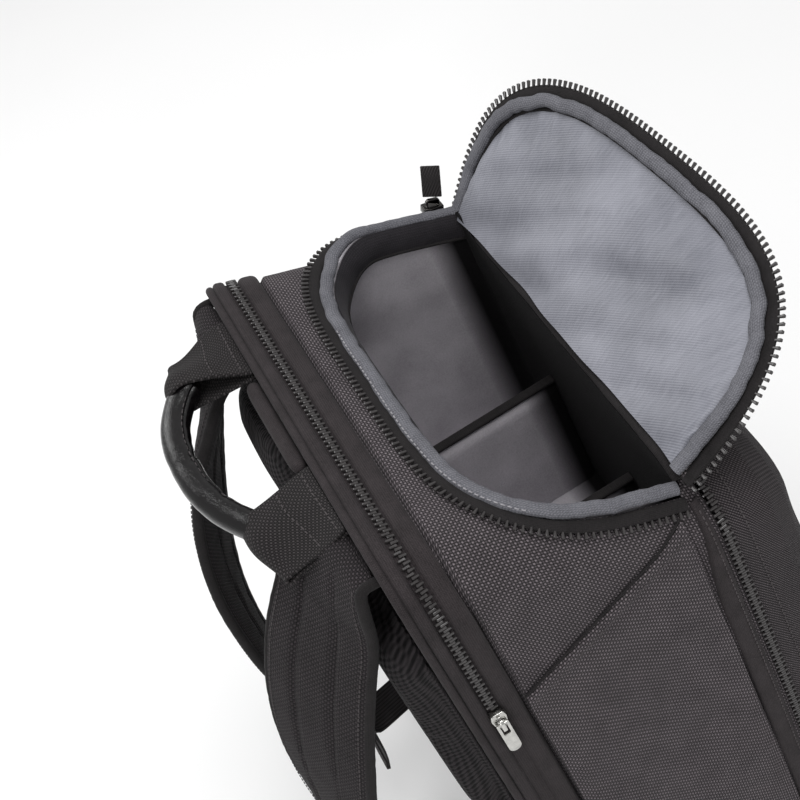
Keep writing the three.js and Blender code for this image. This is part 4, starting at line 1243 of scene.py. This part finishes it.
def hinge_fold():
    """The lid's cloth hinge, one soft fold from end to end"""
    y = HATCH_HINGE_Y - HINGE_FOLD_WIDTH / 2 - 0.0003
    reach = HATCH_HALF - RIM_WIDTH
    route = Route([(x, y, skin_top(x, y) + 0.0026) for x in np.linspace(-reach, reach, 60)])

    def fold(u, v):
        a, b = oval(HINGE_FOLD_WIDTH, 0.0045, 2.4)(u, v)
        soft = 1 + 0.12 * ripple((v * 0.27, 0, 0), 0.02, 4.0)
        return a * soft, b * soft

    piece = sweep("hinge_fold_cloth", 120, 16, lambda v: route.frame(v, UP), fold)
    smooth_shade(piece)
    place_piece(piece, "hatch_hinge_fold", "weave", DARK_TAPE_AND_SHADOW)


# Back


def pads():
    """Back pads, puffed up from their plain solids"""
    for name, node in (
        ("lumbar_mesh_pad", "lumbar_pad"),
        ("back_mesh_pad_left", "back_pad_left"),
        ("back_mesh_pad_right", "back_pad_right"),
    ):
        piece = merged_copy(name, node)
        apply(piece, "REMESH", mode="VOXEL", voxel_size=PAD_VOXEL)
        apply(piece, "SMOOTH", factor=0.5, iterations=14)
        puff(piece)
        soften(piece)
        smooth_shade(piece)
        box_uv(piece)
        place_piece(piece, node, "mesh", MESH)


def puff(piece):
    """Blows a closed pad up a little as cloth, with its back held on the board"""
    rest = np.array([v.co for v in piece.data.vertices])
    modifier = piece.modifiers.new("cloth", "CLOTH")
    settings = modifier.settings
    settings.use_pressure = True
    settings.uniform_pressure_force = PUFF_PRESSURE
    settings.effector_weights.gravity = 0.0
    modifier.point_cache.frame_start = 1
    modifier.point_cache.frame_end = PUFF_STEPS
    for step in range(1, PUFF_STEPS + 1):
        bpy.context.scene.frame_set(step)
    pick(piece)
    bpy.ops.object.modifier_apply(modifier=modifier.name)
    bpy.context.scene.frame_set(1)
    moved = np.array([v.co for v in piece.data.vertices])
    offset = moved - rest
    distance = np.linalg.norm(offset, axis=1, keepdims=True)
    offset *= np.minimum(1, PUFF_CAP / np.maximum(distance, 1e-9))
    held = rest[:, 1:2] < ROOT_Y + 0.003
    offset = np.where(held, 0, offset)
    piece.data.vertices.foreach_set("co", (rest + offset).ravel())
    piece.data.update()


def box_uv(piece):
    """A UV map in metres over the back plane, for pieces that are seen from behind"""
    mesh = piece.data
    layer = mesh.uv_layers[0] if mesh.uv_layers else mesh.uv_layers.new(name="UVMap")
    for loop, uv in zip(mesh.loops, layer.data):
        spot = mesh.vertices[loop.vertex_index].co
        uv.uv = (spot.x, spot.z + spot.y)


def back_board():
    """Mesh-covered board behind the body, with a piped edge"""

    def place(u, v):
        x, z, nx, nz = loop_spot(BACK_Y, u, 0.0015)
        rim = smooth(0, 0.25, v)
        shrink = smooth(0.3, 1.0, v)
        y = BACK_Y + 0.0005 + 0.0028 * rim
        return Vector((lerp(x, 0, shrink), y, lerp(z, HEIGHT / 2, shrink)))

    piece = surface("back_board_mesh", 220, 24, place)
    close(piece)
    smooth_shade(piece)
    box_uv(piece)
    place_piece(piece, "back_board", "mesh", MESH)
    loop = [loop_spot(BACK_Y, k / 300, 0.0012) for k in range(301)]
    spots = [(x, BACK_Y + 0.0018, z) for x, z, _, _ in loop]
    normals = [Vector((nx, 0, nz)) for _, _, nx, nz in loop]
    edging("back_piping", Route(spots, normals), 0.0050, 0.0050, TAPE, pucker=0.05)


def top_roll():
    """Soft roll along the back's top edge, under the handle"""
    low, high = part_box("back_top_roll")
    middle = (low + high) / 2
    route = Route([(x, middle.y, middle.z) for x in np.linspace(low.x, high.x, 30)])
    size = high.y - low.y

    def rolled(u, v):
        a, b = oval(size, size)(u, v)
        end = math.sqrt(max(0.02, 1 - abs(2 * v - 1) ** 12))
        return a * end, b * end

    piece = sweep("back_top_roll_cloth", 60, 16, lambda v: route.frame(v, UP), rolled)
    smooth_shade(piece)
    place_piece(piece, "back_top_roll", "tape", TAPE)


# Handle


def grip_spot(share):
    y = BACK_Y + GRIP_REACH - GRIP_BOW * abs(share) ** 2.4
    z = HEIGHT - GRIP_DROP + share * GRIP_TILT - GRIP_SAG * share**2
    return Vector((share * GRIP_HALF, y, z))


def grip_route(steps=80):
    spots = [grip_spot(lerp(-1.06, 1.06, k / steps)) for k in range(steps + 1)]
    return Route(spots, [UP] * len(spots))


def handle():
    """Leather grip, creased where it bends, with a folded collar and a sewn seam"""
    route = grip_route()

    def section(u, v):
        a, b = oval(2 * GRIP_RADIUS, 2 * GRIP_RADIUS, 2.2)(u, v)
        x = lerp(-1, 1, v) * GRIP_HALF
        c, s = math.cos(2 * math.pi * u), math.sin(2 * math.pi * u)
        inner = smooth(-0.2, 1.0, c)
        crease = ripple((x, c * 0.004, s * 0.004), 0.0085, 3.0) * 0.0005 * (0.4 + inner)
        wave = max(0.0, math.sin(x / 0.0046 + 1.3 * s)) ** 5
        fold = -0.0008 * wave * (0.25 + inner) * smooth(0.75, 0.1, abs(x) / GRIP_HALF)
        from_end = GRIP_HALF * 1.06 - abs(x) * 1.06
        collar = 0.0011 * math.exp(-(((from_end - 0.0085) / 0.0022) ** 2))
        seam = -0.0008 * math.exp(-(((u - 0.08) / 0.012) ** 2))
        end = math.sqrt(max(0.05, 1 - abs(2 * v - 1) ** 24))
        grow = end * (1 + (crease + fold + collar + seam) / GRIP_RADIUS)
        return a * grow, b * grow

    piece = sweep("handle_leather_grip", 260, 64, route.frame, section)
    smooth_shade(piece)
    place_piece(piece, "handle_grip", "leather", LEATHER)
    angle = 2 * math.pi * 0.115
    across, up = GRIP_RADIUS * math.cos(angle), GRIP_RADIUS * math.sin(angle)
    seam = route.shifted(across, up, 0.1, 0.9)
    stitches("handle_seam_stitches", seam, THREAD, pitch=0.0042, slot="leather", size=0.0005)
    for word, side in SIDES.items():
        handle_tab(word, side)


def handle_tab(word, side):
    """Webbing loop from the body's back edge, over the grip's end and back under it"""
    end = grip_spot(side * 0.93)
    root = Vector((side * (TAB_INNER_X + TAB_WIDTH / 2), ROOT_Y + 0.0006, HEIGHT - 0.0042))

    def profile(u):
        """The loop's line in depth and height at a share of its width, from its inner edge"""
        inner = smooth(1.0, 0.25, u)
        radius = lerp(0.0024, GRIP_RADIUS + 0.0022, inner)
        lean = (end.z - grip_spot(side * 0.75).z) * lerp(0.6, 1.6, u)
        cy, cz = end.y, end.z + lean * 0.6 - lerp(0.004, 0, inner) * (side < 0)
        points = [(root.y, root.z), (lerp(root.y, cy, 0.5), lerp(root.z, cz + radius, 0.62))]
        for k in range(9):
            angle = math.radians(lerp(100, -80, k / 8))
            points.append((cy + radius * math.cos(angle), cz + radius * math.sin(angle)))
        points.append((lerp(root.y, cy, 0.45), lerp(root.z - 0.004, cz - radius, 0.5)))
        points.append((root.y, root.z - 0.0034))
        return Route([(0, y, z) for y, z in points])

    lines = [profile(k / 24) for k in range(25)]

    def place(u, v):
        line = lines[int(round(u * 24))].at(v)
        bend = smooth(0.0, 1.0, clamp((line.y - root.y) / (end.y - root.y)))
        width = lerp(TAB_WIDTH, TAB_END_WIDTH[side], bend)
        middle = lerp(abs(root.x), GRIP_HALF + TAB_END_WIDTH[side] / 2 - 0.010, bend)
        x = side * (middle + (u - 0.5) * width)
        return Vector((x, line.y, line.z))

    piece = surface(f"handle_tab_webbing_{word}", 24, 90, place)
    thicken(piece, TAB_CLOTH, 0)
    face_out(piece)
    soften(piece)
    smooth_shade(piece)
    place_piece(piece, f"handle_tab_{word}", "webbing", TAB_WEAVE)
    for number, v in enumerate((0.05, 0.2)):
        spots = [place(lerp(0.06, 0.94, k / 24), v) + UP * 0.0014 for k in range(25)]
        stitches(f"handle_tab_stitches_{word}_{number}", Route(spots, [UP] * 25), THREAD)


# Shoulder straps

# Rows from the root to the end: how far out, how far down, the share of the twist, the share of the
# full thickness
STRAP_ROWS = [
    (0, 0, 0, 0),
    (0.12, 0.002, 0.05, 0.2),
    (0.23, 0.04, 0.4, 0.75),
    (0.36, 0.115, 0.8, 1),
    (0.54, 0.2, 1, 1),
    (0.73, 0.315, 1, 1),
    (0.89, 0.455, 0.8, 1),
    (0.98, 0.6, 0.5, 1),
    (1, 0.735, 0.25, 1),
    (0.93, 0.87, 0.1, 0.9),
    (0.78, 1, 0, 0.5),
]


def strap_row(column, t):
    """Smooth reading of one column of the strap's rows"""
    at = t * (len(STRAP_ROWS) - 1)
    i = min(int(at), len(STRAP_ROWS) - 2)
    rows = [int(clamp(i + k, 0, len(STRAP_ROWS) - 1)) for k in (-1, 0, 1, 2)]
    return glide(*(STRAP_ROWS[row][column] for row in rows), at - i)


def strap_spot(side, t):
    y = ROOT_Y + STRAP_REACH * strap_row(0, t)
    return Vector((side * STRAP_X, y, HEIGHT - STRAP_ROOT_DROP - STRAP_LENGTH * strap_row(1, t)))


def strap_frame(side, t):
    step = 0.01
    ahead = (strap_spot(side, min(t + step, 1)) - strap_spot(side, max(t - step, 0))).normalized()
    away = Vector((1, 0, 0)).cross(ahead).normalized()
    twist = STRAP_TWIST * strap_row(2, t)
    across = Vector((math.cos(twist), 0, 0)) - away * side * math.sin(twist)
    return strap_spot(side, t), across, across.cross(ahead).normalized()


def strap_thickness(t):
    return lerp(STRAP_ROOT_THICKNESS, STRAP_THICKNESS, clamp(strap_row(3, t)))


def strap_width(t):
    return lerp(STRAP_WIDTH, STRAP_END_WIDTH, clamp((t - 0.55) / 0.45))


def strap_line(side, aside, out=0.0, low=0.0, high=1.0):
    """Along a strap's cloth, at a share of its half width and a height over its middle layer"""
    spots, normals = [], []
    for k in range(201):
        t = lerp(low, high, k / 200)
        spot, across, normal = strap_frame(side, t)
        beside = across * aside * strap_width(t) / 2
        spots.append(spot + beside + normal * out * strap_thickness(t) / 2)
        normals.append(normal)
    return Route(spots, normals)


def shoulder_straps():
    """Padded straps: three lengthwise bolsters between sewn channels, and bound edges"""
    for word, side in SIDES.items():

        def section(u, v):
            a, b = oval(strap_width(v), strap_thickness(v), 2.8)(u, v)
            share = a / (strap_width(v) / 2)
            channels = math.exp(-(((abs(share) - 0.36) / 0.06) ** 2))
            pucker = ripple((v * 0.36, share * 0.01, side), 0.008, 6.6) * 0.0006
            wide = ripple((v * 0.36, share * 0.02, side), 0.045, 2.6) * 0.0012
            sink = (0.0022 * channels + pucker + wide) * smooth(0.08, 0.2, v) * (1 - abs(share) ** 6)
            end = math.sqrt(max(0.1, 1 - abs(2 * v - 1) ** 30))
            return a * end, (b - math.copysign(sink, b)) * end

        piece = sweep(f"strap_pad_{word}", 260, 96, lambda v: strap_frame(side, v), section)
        smooth_shade(piece)
        place_piece(piece, f"shoulder_strap_{word}", "webbing", STRAP_WEAVE)
        for edge in (-1, 1):
            where = "inner" if edge * side < 0 else "outer"
            line = strap_line(side, edge * 0.97)
            edging(f"strap_binding_{word}_{where}", line, 0.0052, 0.0068, DARK_TAPE_AND_SHADOW, pucker=0.08)
            row = strap_line(side, edge * 0.86, 0.72, 0.12, 0.97)
            stitches(f"strap_edge_stitches_{word}_{where}", row, THREAD)


def smooth_route(points, normals_from, normals_to, steps=60):
    """A smooth line through a few points, with its normal turning from one to another"""
    ends = [points[0] * 2 - points[1], *points, points[-1] * 2 - points[-2]]
    spots = []
    for k in range(steps + 1):
        at = k / steps * (len(points) - 1)
        i = min(int(at), len(points) - 2)
        spots.append(glide(*ends[i : i + 4], at - i))
    normals = [normals_from.lerp(normals_to, k / steps) for k in range(steps + 1)]
    return Route(spots, normals)


def strap_ends():
    """Lower webbing from each buckle to its wing, the free tail, and the wing itself"""
    for word, side in SIDES.items():
        spot, across, normal = strap_frame(side, 1)
        ahead = (spot - strap_spot(side, 0.98)).normalized()
        buckle = spot + ahead * (BUCKLE_LENGTH / 2 + 0.0003)
        top = buckle + ahead * (BUCKLE_LENGTH / 2 + 0.0003)
        below = top + ahead * WEBBING_WIDTH / 4
        wing_y = ROOT_Y + 0.004
        knee = Vector((side * WING_X, wing_y + 0.004, WING_Z + WING_HEIGHT * 0.62))
        bottom = Vector((side * WING_X, wing_y + 0.0012, WING_Z + WING_HEIGHT * 0.25))
        out = normal if normal.y > 0 else -normal
        line = smooth_route([top, below, below.lerp(knee, 0.5), knee, bottom], out, BACKWARDS)
        flat = {"height": WEBBING_THICKNESS, "finish": WEBBING, "slot": "webbing", "power": 6}
        edging(f"lower_webbing_{word}", line, WEBBING_WIDTH, node=f"strap_webbing_{word}", **flat)
        tail_top = buckle + out * 0.0035
        hang = [tail_top]
        for k in range(1, 7):
            way = ahead.lerp(Vector((0, 0.12, -1)), 0.7 * k / 6).normalized()
            hang.append(tail_top + way * TAIL_LENGTH * k / 6)
        tail = smooth_route(hang, out, BACKWARDS)
        edging(f"free_tail_{word}", tail, WEBBING_WIDTH, node=f"strap_tail_{word}", **flat)
        fold = tail.shifted(out=0.0014, low=0.86, high=1.0)
        edging(f"free_tail_fold_{word}", fold, WEBBING_WIDTH * 0.98, 0.0016, WEBBING, "webbing", power=6)
        eased_copy(f"wing_cloth_{word}", f"strap_wing_{word}", 0.0012, "weave", WEAVE)
        cross = [(-1, -1, 1, 1), (-1, 1, 1, -1), (-1, -1, 1, -1), (-1, 1, 1, 1)]
        for number, (x0, z0, x1, z1) in enumerate(cross):
            spots = []
            for k in range(21):
                x = side * WING_X + lerp(x0, x1, k / 20) * 0.0095
                z = bottom.z + 0.009 + lerp(z0, z1, k / 20) * 0.0075
                spots.append(Vector((x, wing_y + 0.0034 + 0.0006 * (z > bottom.z + 0.012), z)))
            row = Route(spots, [BACKWARDS] * 21)
            stitches(f"wing_cross_stitches_{word}_{number}", row, THREAD, pitch=0.003)


def hard_pieces():
    """Moulded and metal pieces: each keeps its node's shape, with eased edges"""
    eased_copy("base_skid_panel", "base_panel", 0.0012, "plastic", PLASTIC)
    for name in ("laptop", "front"):
        eased_copy(f"{name}_zip_slider", f"{name}_slider", 0.0005, "metal", METAL)
        eased_copy(f"{name}_zip_pull", f"{name}_pull", 0.0004, "metal", METAL, f"{name}_pull_body")
    eased_copy("hatch_zip_slider", "hatch_slider", 0.0005, "metal", DARK_METAL)
    eased_copy("hatch_pull_tag", "hatch_tag", 0.0006, "webbing", TAB_WEAVE)
    for word in SIDES:
        eased_copy(f"ladder_buckle_{word}", f"strap_buckle_{word}", 0.0007, "plastic", PLASTIC)


# Stage

WORLD_LIGHT = 0.62
AIM = Vector((0, 0, 0.35))

# Name, place, size in metres and power in watts
LIGHTS = (
    ("overhead", (-0.35, -0.25, 1.95), 0.9, 18),
    ("near_side", (-1.5, 1.1, 1.3), 0.45, 10),
    ("far_side", (1.3, 0.7, 1.5), 0.8, 9),
)


def stage():
    """Pale floor, even light from all round and three soft lamps"""
    deselect()
    bpy.ops.mesh.primitive_plane_add(size=8)
    floor = bpy.context.object
    floor.name = "floor"

    def build(uv, place):
        return {"Base_Color": place.clouds(3, 2).tint((0.88, 0.88, 0.88), (0.92, 0.92, 0.92))}

    floor.data.materials.append(finish_of("pale_floor", build, Roughness=0.9))
    world = bpy.data.worlds.new("studio")
    bpy.context.scene.world = world
    world.use_nodes = True
    world.node_tree.nodes["Background"].inputs["Color"].default_value = (1, 1, 1, 1)
    world.node_tree.nodes["Background"].inputs["Strength"].default_value = WORLD_LIGHT
    for name, place, size, power in LIGHTS:
        light = bpy.data.lights.new(name, "AREA")
        light.energy = power
        light.size = size
        lamp = bpy.data.objects.new(name, light)
        bpy.context.scene.collection.objects.link(lamp)
        lamp.location = place
        aim = AIM - Vector(place)
        lamp.rotation_euler = aim.to_track_quat("-Z", "Y").to_euler()
    bpy.context.scene.view_settings.view_transform = "Standard"


CAMERA_PLACE = Vector((-0.7255, 0.0822, 1.1149))
CAMERA_AHEAD = Vector((0.7269, -0.0491, -0.6850))
CAMERA_UP = Vector((0.5659, -0.5223, 0.6379))
CAMERA_LENS = 81.605


def camera():
    data = bpy.data.cameras.new("view")
    data.lens = CAMERA_LENS
    data.sensor_width = 36
    data.clip_start = 0.01
    made = bpy.data.objects.new("view", data)
    bpy.context.scene.collection.objects.link(made)
    ahead = CAMERA_AHEAD.normalized()
    right = ahead.cross(CAMERA_UP).normalized()
    made.matrix_world = matrix_of(CAMERA_PLACE, right, right.cross(ahead), -ahead)
    bpy.context.scene.camera = made


camera()
stage()
body_cloth()
zip_band()
zip_chains()
for word, side in SIDES.items():
    side_panel(word, side)
    front_flap(word, side)
front_pocket()
rim_parts()
bay_collar()
bay_wall()
dividers()
hinge_fold()
lid_parts()
pads()
back_board()
top_roll()
handle()
shoulder_straps()
strap_ends()
hard_pieces()
